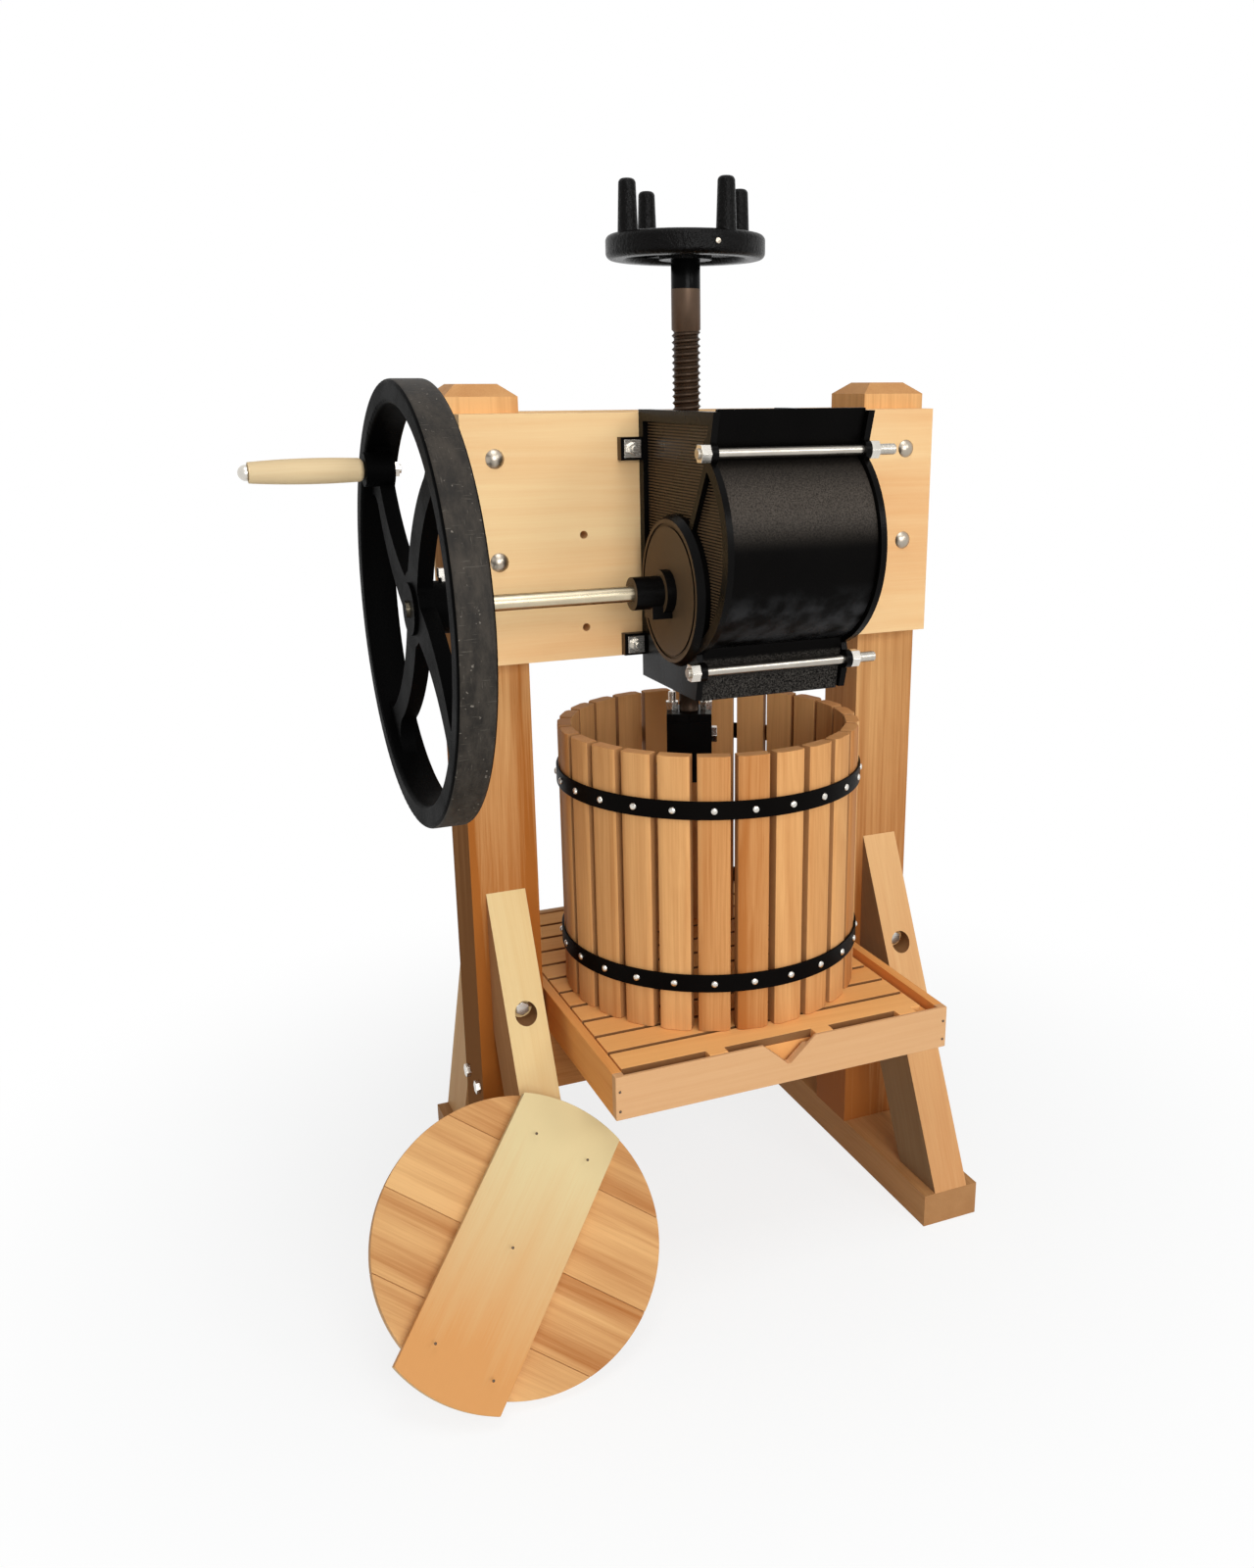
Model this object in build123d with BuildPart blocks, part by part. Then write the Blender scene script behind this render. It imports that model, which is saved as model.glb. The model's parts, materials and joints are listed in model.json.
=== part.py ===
from build123d import *

import os
from math import asin, atan2, cos, degrees, radians, sin, sqrt

# Single-tub cider press with a flywheel grinder, in millimetres.
# The origin is the floor point under the press screw, +X runs right along the header, +Y to the rear, +Z up.

# Frame timber
post_gap = 492.0
post_width = 93.0
post_depth = 92.5
post_top = 1188.0
post_top_rise = 15.0
post_top_run = 20.0
foot_width = 89.6
foot_height = 50.4
foot_length = 562.0
header_length = 663.0
header_height = 304.8
header_thickness = 40.0
header_bottom = 848.6
brace_width = 54.5
brace_depth = 88.0
brace_top = 532.0
rail_thickness = 38.0
rail_height = 92.0

# Tray and rack
tray_side_gap = 5.0
tray_front = -321.0
tray_rear = 255.5
tray_bottom = 313.8
tray_height = 59.5
tray_wall = 13.0
tray_floor_thickness = 10.0
spout_width = 76.0
spout_base_width = 4.0
spout_depth = 33.0
slat_count = 11
slat_gap = 6.5
slat_thickness = 12.0
slat_left_gap = 2.0
slat_right_gap = 18.0
rack_clearance = 0.6
slat_stop_width = 26.0
rim_rebate_width = 8.0
slat_stop_places = (-98.0, 54.0, 182.0)
runner_width = 26.0
runner_inset = 4.0
runner_count = 4
rack_rail_thickness = 14.0
rack_drip_gap = 10.0

# Tub
tub_y = -65.7
tub_rest_gap = 0.3
stave_count = 25
stave_turn = 3.0
stave_radius = 207.0
stave_thickness = 19.0
stave_width = 42.0
stave_bevel_width = 7.0
stave_bevel_depth = 3.5
stave_length = 372.9
hoop_thickness = 3.0
hoop_height = 24.0
hoop_gap = 0.1
upper_hoop_rise = 304.1
lower_hoop_rise = 69.4

# Grinder castings
grinder_width = 206.0
plate_thickness = 16.0
plate_edge = 8.0
plate_top = 1157.0
plate_bottom = 820.0
plate_proud = 6.0
plate_border = 14.0
panel_recess = 8.0
plate_rib_width = 10.0
throat_y = -220.0
throat_z = 1001.0
cover_radius = 125.0
cover_wall = 8.0
cover_clearance = 0.2
cover_top_y = -308.0
cover_top_z = 1160.0
cover_lip_y = -252.0
cover_lip_z = 817.0
upper_waist_height = 1105.0
lower_waist_height = 884.0
boss_radius = 92.0
boss_proud = 9.0
boss_edge_slope = 30.0
boss_groove_radius = 82.0
boss_groove_width = 4.0
boss_groove_depth = 2.0
hub_radius = 20.0
hub_end = 160.0
hub_collar_radius = 27.0
hub_collar_length = 12.0
hub_lug_width = 26.0
hub_lug_length = 26.0
hub_lug_drop = 31.0
upper_rod_y = -300.0
upper_rod_z = 1112.0
lower_rod_y = -268.0
lower_rod_z = 857.0
rod_radius = 6.0
rod_lug_radius = 11.5
rod_left_spare = 3.0
rod_right_spare = 24.0
rod_nut_size = 20.0
rod_nut_height = 12.0
ear_length = 29.0
ear_thickness = 12.0
ear_height = 28.0
ear_bolt_x = 117.0
upper_ear_height = 1110.0
lower_ear_height = 864.0

# Shaft, drum and flywheel
shaft_y = -198.0
shaft_z = 945.0
shaft_radius = 9.525
shaft_right_end = 166.0
shaft_left_spare = 4.0
bush_wall = 4.0
drum_radius = 74.0
drum_end_gap = 3.0
knife_count = 6
knife_depth = 15.0
knife_proud = 3.0
knife_thickness = 5.0
knife_inset = 4.0
drum_pin_radius = 4.0
drum_pin_x = 45.0
drum_pin_inset = 1.0
flywheel_x = -416.5
flywheel_width = 42.0
flywheel_radius = 249.0
rim_inner_radius = 223.0
rim_round = 5.0
web_thickness = 18.0
spoke_count = 4
spoke_hub_turn = 26.0
spoke_middle_turn = 31.0
spoke_hub_width = 48.0
spoke_rim_width = 24.0
window_outer_round = 30.0
window_inner_round = 6.0
window_inner_radius = 42.0
window_overlap = 2.0
wheel_hub_radius = 30.0
wheel_hub_left = 13.0
wheel_hub_right = 47.0
set_screw_radius = 5.0
set_screw_head = 10.0
set_screw_stand = 4.0

# Crank
crank_radius = 204.0
crank_turn = 45.8
crank_boss_radius = 20.0
crank_boss_proud = 4.2
crank_bolt_radius = 5.5
crank_head_radius = 9.0
crank_head_height = 11.0
crank_nut_size = 17.0
crank_nut_height = 7.0
crank_bolt_spare = 3.0
grip_length = 131.0
grip_wheel_radius = 9.0
grip_shoulder = 8.0
grip_shoulder_radius = 13.8
grip_middle_radius = 14.8
grip_end_radius = 12.0
grip_end_gap = 0.3

# Press screw, hand wheel, nut and foot
screw_radius = 19.05
screw_top = 1366.0
screw_shoulder_gap = 3.0
neck_radius = 14.0
button_radius = 17.0
button_height = 30.0
wheel_bottom = 1340.0
wheel_height = 30.0
hand_wheel_radius = 103.0
hand_rim_width = 28.0
hand_rim_round = 8.0
hand_hub_radius = 34.0
hand_spoke_width = 26.0
hand_spoke_height = 16.0
prong_count = 4
prong_circle = 88.0
prong_turn = 12.0
prong_radius = 13.0
prong_height = 61.0
prong_taper = 2.0
prong_round = 6.0
prong_root = 4.0
wheel_pin_radius = 4.0
wheel_pin_inset = 1.0
nut_block_width = 96.0
nut_block_height = 60.0
nut_block_rise = 2.0
nut_bolt_x = 34.0
press_foot_size = 63.0
press_foot_turn = -23.4
press_foot_top = 733.0
press_foot_height = 83.0
foot_flange_radius = 48.0
foot_flange_height = 15.0
retainer_thickness = 12.0
retainer_split = 0.4
foot_stud_x = 24.0
foot_stud_radius = 5.0
foot_stud_depth = 16.0
foot_stud_stand = 38.0
foot_nut_size = 17.0
foot_nut_height = 12.0
side_bolt_drop = 24.0
side_bolt_radius = 6.0
side_bolt_length = 11.0
side_bolt_head = 21.0
side_bolt_head_height = 8.0

# Pressing board
disc_radius = 183.0
disc_thickness = 22.0
disc_x = -363.8
disc_lean = 37.76
disc_floor_gap = 0.3
disc_brace_gap = 0.35
disc_seams = (102.0, -10.0, -106.0)
disc_seam_gap = 0.3
cleat_width = 140.0
cleat_thickness = 19.0
cleat_turn = 51.8
cleat_overhang = 8.5
cleat_slip = -11.5
cleat_lift = 7.8

# Frame fasteners
bolt_clearance = 0.25
nut_clearance = 0.1
running_clearance = 0.05
seat_clearance = 0.02
axial_clearance = 0.3
header_bolt_radius = 5.0
header_bolt_head_radius = 12.0
header_bolt_head_height = 6.0
header_bolt_x = 290.0
header_bolt_heights = (1101.0, 977.0)
timber_nut_size = 17.0
timber_nut_height = 8.0
bolt_spare = 3.0
brace_bolt_height = 382.0
brace_bolt_radius = 5.5
brace_bolt_head = 17.0
brace_bolt_head_height = 7.0
brace_bolt_seat = 96.0
brace_bore_radius = 15.0
lag_radius = 5.0
lag_head = 17.0
lag_head_height = 6.5
lag_bore_radius = 14.0
lag_bore_depth = 12.0
rail_lag_rise = 16.0
rail_lag_bite = 80.0
post_lag_y = 25.0
post_lag_bite = 110.0
brace_lag_bite = 55.0
mount_bolt_radius = 4.5
mount_bolt_head_radius = 10.0
mount_bolt_head_height = 5.0
mount_nut_size = 14.0
mount_nut_height = 7.0
mount_washer_size = 22.0
mount_washer_thickness = 3.0
nut_bore_radius = 14.0
nut_bore_depth = 14.0
peg_hole_x = -179.5
peg_hole_radius = 5.0
peg_hole_height = 888.8
peg_hole_spacing = 117.0

# Worked out from the sizes above
post_x = (post_gap + post_width) / 2
post_outer = post_gap / 2 + post_width
post_face = post_depth / 2
header_front = -(post_face + header_thickness)
brace_slope = atan2(foot_length / 2 - post_face, brace_top - foot_height)
brace_foot_depth = brace_depth / cos(brace_slope)
brace_heel_height = brace_top - brace_depth / sin(brace_slope)
rail_bottom = tray_bottom - rail_height
tray_top = tray_bottom + tray_height
tray_length = tray_rear - tray_front
tray_middle = (tray_rear + tray_front) / 2
tray_width = post_gap - 2 * tray_side_gap
bed_width = tray_width - 2 * tray_wall
bed_length = tray_length - 2 * tray_wall
runner_spacing = (bed_width - 2 * runner_inset - runner_width) / (runner_count - 1)
stave_bottom = tray_top + tub_rest_gap
throat_center = Vector(throat_y, throat_z)
cover_top = Vector(cover_top_y, cover_top_z)
cover_lip = Vector(cover_lip_y, cover_lip_z)
upper_rod = Vector(upper_rod_y, upper_rod_z)
lower_rod = Vector(lower_rod_y, lower_rod_z)
shaft_center = Vector(shaft_y, shaft_z)
wheel_plane = Plane(origin=(flywheel_x, shaft_y, shaft_z), x_dir=(0, 1, 0), z_dir=(1, 0, 0))
drum_plane = Plane(origin=(0, shaft_y, shaft_z), x_dir=(0, 1, 0), z_dir=(1, 0, 0))
crank_y = shaft_y + crank_radius * cos(radians(crank_turn))
crank_z = shaft_z + crank_radius * sin(radians(crank_turn))
nut_block_bottom = header_bottom + nut_block_rise
nut_bolt_height = nut_block_bottom + nut_block_height / 2
foot_stud_top = press_foot_top + foot_stud_stand
side_bolt_height = press_foot_top - side_bolt_drop

# Turns that bring a piece made along +Z to face along a row axis
FACING = {
    "+x": (0, 90, 0),
    "-x": (0, -90, 0),
    "+y": (-90, 0, 0),
    "-y": (90, 0, 0),
    "+z": (0, 0, 0),
    "-z": (180, 0, 0),
}


def spot(x, y, z, facing):
    """Seat of a fastener whose head faces the given way."""
    return Location((x, y, z), FACING[facing])


def headed_bolt(radius, length, across_flats, head_height, sides=6):
    """Flat-sided head above the seat at the origin, plain shank below it."""
    with BuildPart() as bolt:
        with BuildSketch():
            RegularPolygon(across_flats / 2, sides, major_radius=False, rotation=180 / sides)
        extrude(amount=head_height)
        with BuildSketch():
            Circle(radius)
        extrude(amount=-length)
    return bolt.part


def carriage_bolt(radius, length, head_radius, head_height):
    """Domed head above the seat at the origin, plain shank below it."""
    dome_radius = (head_radius**2 + head_height**2) / (2 * head_height)
    half_angle = asin(head_radius / dome_radius) / 2
    middle = (dome_radius * sin(half_angle), head_height - dome_radius * (1 - cos(half_angle)))
    with BuildPart() as bolt:
        with BuildSketch(Plane.XZ):
            with BuildLine():
                ThreePointArc((head_radius, 0), middle, (0, head_height))
                Polyline((0, head_height), (0, -length), (radius, -length), (radius, 0), (head_radius, 0))
            make_face()
        revolve(axis=Axis.Z)
    return bolt.part


def hex_nut(bolt_radius, across_flats, height, sides=6):
    """Nut or square washer standing on the origin."""
    with BuildPart() as nut:
        with BuildSketch():
            RegularPolygon(across_flats / 2, sides, major_radius=False, rotation=180 / sides)
            Circle(bolt_radius + nut_clearance, mode=Mode.SUBTRACT)
        extrude(amount=height)
    return nut.part


def set_of(template, spots):
    """One copy of a fastener at each seat."""
    with BuildPart() as copies:
        with Locations(*spots):
            add(template)
    return copies


def swung(piece, angle):
    """The same piece turned about the press screw."""
    with BuildPart() as other:
        add(piece.part, rotation=(0, 0, angle))
    return other


def mirrored(piece, about):
    """The same piece on the other side of the press."""
    with BuildPart() as other:
        mirror(piece.part, about=about)
    return other


pieces = {}

# Seats of the frame fasteners
header_bolt_length = post_depth + 2 * header_thickness
header_bolt_spots = [
    spot(side * header_bolt_x, header_front, height, "-y")
    for side in (-1, 1)
    for height in header_bolt_heights
]
brace_bolt_spots = [spot(side * post_x, -brace_bolt_seat, brace_bolt_height, "-y") for side in (-1, 1)]
rail_y = post_face - rail_thickness / 2
rail_lag_spots = [
    spot(side * post_outer, end * rail_y, rail_bottom + rail_lag_rise, facing)
    for side, facing in ((-1, "-x"), (1, "+x"))
    for end in (-1, 1)
]
post_lag_spots = [
    spot(side * post_x, end * post_lag_y, lag_bore_depth, "-z") for side in (-1, 1) for end in (-1, 1)
]
brace_lag_y = foot_length / 2 - brace_foot_depth / 2
brace_lag_spots = [
    spot(side * post_x, end * brace_lag_y, lag_bore_depth, "-z") for side in (-1, 1) for end in (-1, 1)
]
post_lag_length = foot_height - lag_bore_depth + post_lag_bite
brace_lag_length = foot_height - lag_bore_depth + brace_lag_bite
rail_lag_length = post_width + rail_lag_bite
mount_spots = [
    spot(side * ear_bolt_x, -post_face, height, "+y")
    for side in (-1, 1)
    for height in (upper_ear_height, lower_ear_height)
]
nut_bolt_spots = [spot(side * nut_bolt_x, -header_front, nut_bolt_height, "+y") for side in (-1, 1)]
nut_bolt_length = -2 * header_front - bolt_spare
peg_hole_spots = [
    spot(peg_hole_x, header_front, height, "-y")
    for height in (peg_hole_height, peg_hole_height + peg_hole_spacing)
]
lag_hole = lag_radius + bolt_clearance
header_bolt_hole = header_bolt_radius + bolt_clearance
brace_bolt_hole = brace_bolt_radius + bolt_clearance
mount_hole = mount_bolt_radius + bolt_clearance

# Feet, drilled and counterbored from below
with BuildPart() as left_foot:
    with BuildSketch():
        with Locations((-post_x, 0)):
            Rectangle(foot_width, foot_length)
    extrude(amount=foot_height)
    lag_mouths = [spot(-post_x, end * y, 0, "-z") for end in (-1, 1) for y in (post_lag_y, brace_lag_y)]
    with Locations(*lag_mouths):
        CounterBoreHole(lag_hole, lag_bore_radius, lag_bore_depth, foot_height)
pieces["left_foot"] = left_foot
pieces["right_foot"] = mirrored(left_foot, Plane.YZ)

# Posts with sloped tops
with BuildPart() as left_post:
    with BuildSketch(Plane.XY.offset(foot_height)):
        with Locations((-post_x, 0)):
            Rectangle(post_width, post_depth)
    extrude(amount=post_top - post_top_rise - foot_height)
    with BuildSketch(Plane.XY.offset(post_top - post_top_rise)):
        with Locations((-post_x, 0)):
            Rectangle(post_width, post_depth)
    with BuildSketch(Plane.XY.offset(post_top)):
        with Locations((-post_x, 0)):
            Rectangle(post_width - 2 * post_top_run, post_depth - 2 * post_top_run)
    loft(ruled=True)
    with Locations(*header_bolt_spots):
        Hole(header_bolt_hole, header_bolt_length)
    with Locations(*brace_bolt_spots):
        Hole(brace_bolt_hole, 2 * brace_bolt_seat)
    with Locations(*rail_lag_spots):
        Hole(lag_hole, rail_lag_length)
    with Locations(*post_lag_spots):
        Hole(lag_hole, post_lag_length)
pieces["left_post"] = left_post
pieces["right_post"] = mirrored(left_post, Plane.YZ)

# Braces from post to foot, counterbored for the through bolt
brace_bore_start = foot_length / 2
with BuildPart() as left_front_brace:
    with BuildSketch(Plane.YZ.offset(-post_x - brace_width / 2)):
        Polygon(
            (-post_face, brace_top),
            (-foot_length / 2, foot_height),
            (-foot_length / 2 + brace_foot_depth, foot_height),
            (-post_face, brace_heel_height),
            align=None,
        )
    extrude(amount=brace_width)
    with Locations(spot(-post_x, -brace_bore_start, brace_bolt_height, "-y")):
        CounterBoreHole(brace_bolt_hole, brace_bore_radius, brace_bore_start - brace_bolt_seat)
    with Locations(*brace_lag_spots):
        Hole(lag_hole, brace_lag_length)
pieces["left_front_brace"] = left_front_brace
pieces["left_rear_brace"] = mirrored(left_front_brace, Plane.XZ)
pieces["right_front_brace"] = mirrored(left_front_brace, Plane.YZ)
pieces["right_rear_brace"] = mirrored(pieces["left_rear_brace"], Plane.YZ)

# Header boards on both faces of the posts
with BuildPart() as front_header:
    with BuildSketch(Plane.XZ.offset(post_face)):
        with Locations((0, header_bottom + header_height / 2)):
            Rectangle(header_length, header_height)
    extrude(amount=header_thickness)
    with Locations(*header_bolt_spots):
        Hole(header_bolt_hole, header_bolt_length)
    with Locations(*mount_spots):
        Hole(mount_hole, header_thickness)
    with Locations(*[spot(side * nut_bolt_x, header_front, nut_bolt_height, "-y") for side in (-1, 1)]):
        CounterBoreHole(header_bolt_hole, nut_bore_radius, nut_bore_depth, header_thickness)
    with Locations(*peg_hole_spots):
        Hole(peg_hole_radius, header_thickness)
pieces["front_header"] = front_header

with BuildPart() as rear_header:
    with BuildSketch(Plane.XZ.offset(-post_face)):
        with Locations((0, header_bottom + header_height / 2)):
            Rectangle(header_length, header_height)
    extrude(amount=-header_thickness)
    with Locations(*header_bolt_spots):
        Hole(header_bolt_hole, header_bolt_length)
    with Locations(*nut_bolt_spots):
        Hole(header_bolt_hole, header_thickness)
pieces["rear_header"] = rear_header

# Rails on edge between the posts, under the tray
with BuildPart() as front_rail:
    with BuildSketch(Plane.XY.offset(rail_bottom)):
        with Locations((0, -rail_y)):
            Rectangle(post_gap, rail_thickness)
    extrude(amount=rail_height)
    with Locations(*rail_lag_spots):
        Hole(lag_hole, rail_lag_length)
pieces["front_rail"] = front_rail
pieces["rear_rail"] = mirrored(front_rail, Plane.XZ)

# Frame fasteners
header_bolt = carriage_bolt(
    header_bolt_radius,
    header_bolt_length + timber_nut_height + bolt_spare,
    header_bolt_head_radius,
    header_bolt_head_height,
)
pieces["header_bolts"] = set_of(header_bolt, header_bolt_spots)
header_nut_spots = [
    spot(side * header_bolt_x, -header_front, height, "+y")
    for side in (-1, 1)
    for height in header_bolt_heights
]
header_nut = hex_nut(header_bolt_radius, timber_nut_size, timber_nut_height)
pieces["header_nuts"] = set_of(header_nut, header_nut_spots)
brace_bolt = headed_bolt(
    brace_bolt_radius,
    2 * brace_bolt_seat + timber_nut_height + bolt_spare,
    brace_bolt_head,
    brace_bolt_head_height,
)
pieces["brace_bolts"] = set_of(brace_bolt, brace_bolt_spots)
brace_nut = hex_nut(brace_bolt_radius, timber_nut_size, timber_nut_height)
pieces["brace_nuts"] = set_of(
    brace_nut, [spot(side * post_x, brace_bolt_seat, brace_bolt_height, "+y") for side in (-1, 1)]
)
pieces["rail_lags"] = set_of(
    headed_bolt(lag_radius, rail_lag_length, lag_head, lag_head_height), rail_lag_spots
)
with BuildPart() as foot_lags:
    with Locations(*post_lag_spots):
        add(headed_bolt(lag_radius, post_lag_length, lag_head, lag_head_height))
    with Locations(*brace_lag_spots):
        add(headed_bolt(lag_radius, brace_lag_length, lag_head, lag_head_height))
pieces["foot_lags"] = foot_lags

# Juice tray with its pouring notch
with BuildPart() as tray_front_wall:
    with BuildSketch(Plane.XZ.offset(-tray_front - tray_wall)):
        with Locations((0, tray_bottom + tray_height / 2)):
            Rectangle(tray_width, tray_height)
        Polygon(
            (-spout_width / 2, tray_top),
            (-spout_base_width / 2, tray_top - spout_depth),
            (spout_base_width / 2, tray_top - spout_depth),
            (spout_width / 2, tray_top),
            align=None,
            mode=Mode.SUBTRACT,
        )
    extrude(amount=tray_wall)
    with Locations((0, tray_front + tray_wall, tray_top)):
        Box(
            bed_width,
            rim_rebate_width,
            slat_thickness + rack_clearance,
            align=(Align.CENTER, Align.MAX, Align.MAX),
            mode=Mode.SUBTRACT,
        )
pieces["tray_front_wall"] = tray_front_wall

with BuildPart() as tray_rear_wall:
    with BuildSketch(Plane.XZ.offset(-tray_rear)):
        with Locations((0, tray_bottom + tray_height / 2)):
            Rectangle(tray_width, tray_height)
    extrude(amount=tray_wall)
pieces["tray_rear_wall"] = tray_rear_wall

with BuildPart() as tray_left_wall:
    with BuildSketch(Plane.XY.offset(tray_bottom)):
        with Locations(((tray_wall - tray_width) / 2, tray_middle)):
            Rectangle(tray_wall, bed_length)
    extrude(amount=tray_height)
pieces["tray_left_wall"] = tray_left_wall
pieces["tray_right_wall"] = mirrored(tray_left_wall, Plane.YZ)

with BuildPart() as tray_floor:
    with BuildSketch(Plane.XY.offset(tray_bottom)):
        with Locations((0, tray_middle)):
            Rectangle(bed_width, bed_length)
    extrude(amount=tray_floor_thickness)
pieces["tray_floor"] = tray_floor

# Rack: slats across the tray, flush with its rim, on runners joined by a rail behind the spout
slat_width = (bed_length - (slat_count + 1) * slat_gap) / slat_count
runner_height = tray_height - tray_floor_thickness - slat_thickness
rack_front = tray_front + tray_wall + slat_gap
slat_underside = tray_top - slat_thickness
with BuildPart() as rack_slats:
    with BuildSketch(Plane.XY.offset(slat_underside)):
        with Locations(((slat_left_gap - slat_right_gap) / 2, tray_middle)):
            with GridLocations(0, slat_width + slat_gap, 1, slat_count):
                Rectangle(bed_width - slat_left_gap - slat_right_gap, slat_width)
        with Locations(*[(x, rack_front) for x in slat_stop_places]):
            Rectangle(
                slat_stop_width,
                slat_gap + rim_rebate_width - rack_clearance,
                align=(Align.CENTER, Align.MAX),
            )
    extrude(amount=slat_thickness)
pieces["rack_slats"] = rack_slats

with BuildPart() as rack_runners:
    with BuildSketch(Plane.XY.offset(tray_bottom + tray_floor_thickness)):
        with Locations((0, tray_middle)):
            with GridLocations(runner_spacing, 0, runner_count, 1):
                Rectangle(runner_width, bed_length - 2 * slat_gap)
    extrude(amount=runner_height)
    with BuildSketch(Plane.XY.offset(slat_underside)):
        with Locations((0, rack_front)):
            Rectangle(bed_width - 2 * runner_inset, rack_rail_thickness, align=(Align.CENTER, Align.MIN))
    extrude(amount=rack_drip_gap - runner_height)
pieces["rack_runners"] = rack_runners

# Tub: bevelled staves inside two hoops
with BuildPart() as tub_staves:
    with BuildSketch(Plane.XY.offset(stave_bottom)):
        with Locations((0, tub_y)):
            with PolarLocations(stave_radius, stave_count, start_angle=stave_turn):
                Polygon(
                    (0, stave_width / 2 - stave_bevel_width),
                    (-stave_bevel_depth, stave_width / 2),
                    (-stave_thickness, stave_width / 2),
                    (-stave_thickness, -stave_width / 2),
                    (-stave_bevel_depth, -stave_width / 2),
                    (0, -stave_width / 2 + stave_bevel_width),
                    align=None,
                )
    extrude(amount=stave_length)
pieces["tub_staves"] = tub_staves

stave_reach = sqrt(stave_radius**2 + (stave_width / 2 - stave_bevel_width) ** 2)
hoop_inner = stave_reach + hoop_gap


def hoop(rise):
    """Flat steel ring round the staves, centred at the given height above their feet."""
    with BuildPart() as ring:
        with BuildSketch(Plane.XY.offset(stave_bottom + rise - hoop_height / 2)):
            with Locations((0, tub_y)):
                Circle(hoop_inner + hoop_thickness)
                Circle(hoop_inner, mode=Mode.SUBTRACT)
        extrude(amount=hoop_height)
    return ring


pieces["tub_upper_hoop"] = hoop(upper_hoop_rise)
pieces["tub_lower_hoop"] = hoop(lower_hoop_rise)


def waist(height):
    """Point of the cover's round front at the given height."""
    rise = height - throat_center.Y
    return Vector(throat_center.X - sqrt(cover_radius**2 - rise**2), height)


upper_waist = waist(upper_waist_height)
lower_waist = waist(lower_waist_height)
flare = (cover_top - upper_waist).normalized()
flare_inward = Vector(flare.Y, -flare.X)
lip = (cover_lip - lower_waist).normalized()
lip_inward = Vector(-lip.Y, lip.X)


def chamber(inset):
    """Grinding chamber seen along X, as y and z, drawn in by inset from the cover's outer face."""
    with BuildSketch() as region:
        Polygon(
            (header_front, cover_top.Y + inset),
            cover_top + (flare_inward + flare) * inset,
            upper_waist + flare_inward * inset,
            throat_center,
            lower_waist + lip_inward * inset,
            cover_lip + (lip_inward + lip) * inset,
            (header_front, cover_lip.Y - inset),
            align=None,
        )
        with Locations(throat_center):
            Circle(cover_radius - inset)
    return region.sketch


# Outline of a grinder end plate, as y and z
with BuildSketch() as plate_outline:
    Polygon(
        (header_front, plate_bottom),
        (cover_lip.X - plate_proud, plate_bottom),
        lower_rod,
        throat_center,
        upper_rod,
        (cover_top.X - plate_proud, plate_top),
        (header_front, plate_top),
        align=None,
    )
    with Locations(throat_center):
        Circle(cover_radius + plate_proud)
    with Locations(upper_rod, lower_rod):
        Circle(rod_lug_radius)

# Sunk panel of the plate: inside its border, clear of the boss, the rod lugs and the slanting rib
rib_run = shaft_center - upper_rod
with BuildSketch() as plate_panel:
    Polygon(
        (header_front - plate_border, shaft_z),
        (header_front - plate_border, plate_top - plate_border),
        (cover_top.X - plate_proud + plate_border, plate_top - plate_border),
        upper_rod + Vector(plate_border, 0),
        throat_center,
        align=None,
    )
    with Locations(throat_center):
        Circle(cover_radius + plate_proud - plate_border)
    with Locations(shaft_center):
        Circle(boss_radius, mode=Mode.SUBTRACT)
    with Locations(upper_rod, lower_rod):
        Circle(rod_lug_radius + plate_border / 2, mode=Mode.SUBTRACT)
    with Locations(Location((upper_rod.X, upper_rod.Y), degrees(atan2(rib_run.Y, rib_run.X)))):
        Rectangle(
            rib_run.length,
            plate_rib_width,
            align=(Align.MIN, Align.CENTER),
            mode=Mode.SUBTRACT,
        )

plate_face = grinder_width / 2
boss_face = plate_face + boss_proud
bush_radius = shaft_radius + running_clearance + bush_wall
left_boss_plane = Plane(origin=(-plate_face, shaft_y, shaft_z), x_dir=(0, 1, 0), z_dir=(-1, 0, 0))
rod_seats = [Location((-plate_face, rod.X, rod.Y), FACING["-x"]) for rod in (upper_rod, lower_rod)]
ear_heights = (upper_ear_height, lower_ear_height)

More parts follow.
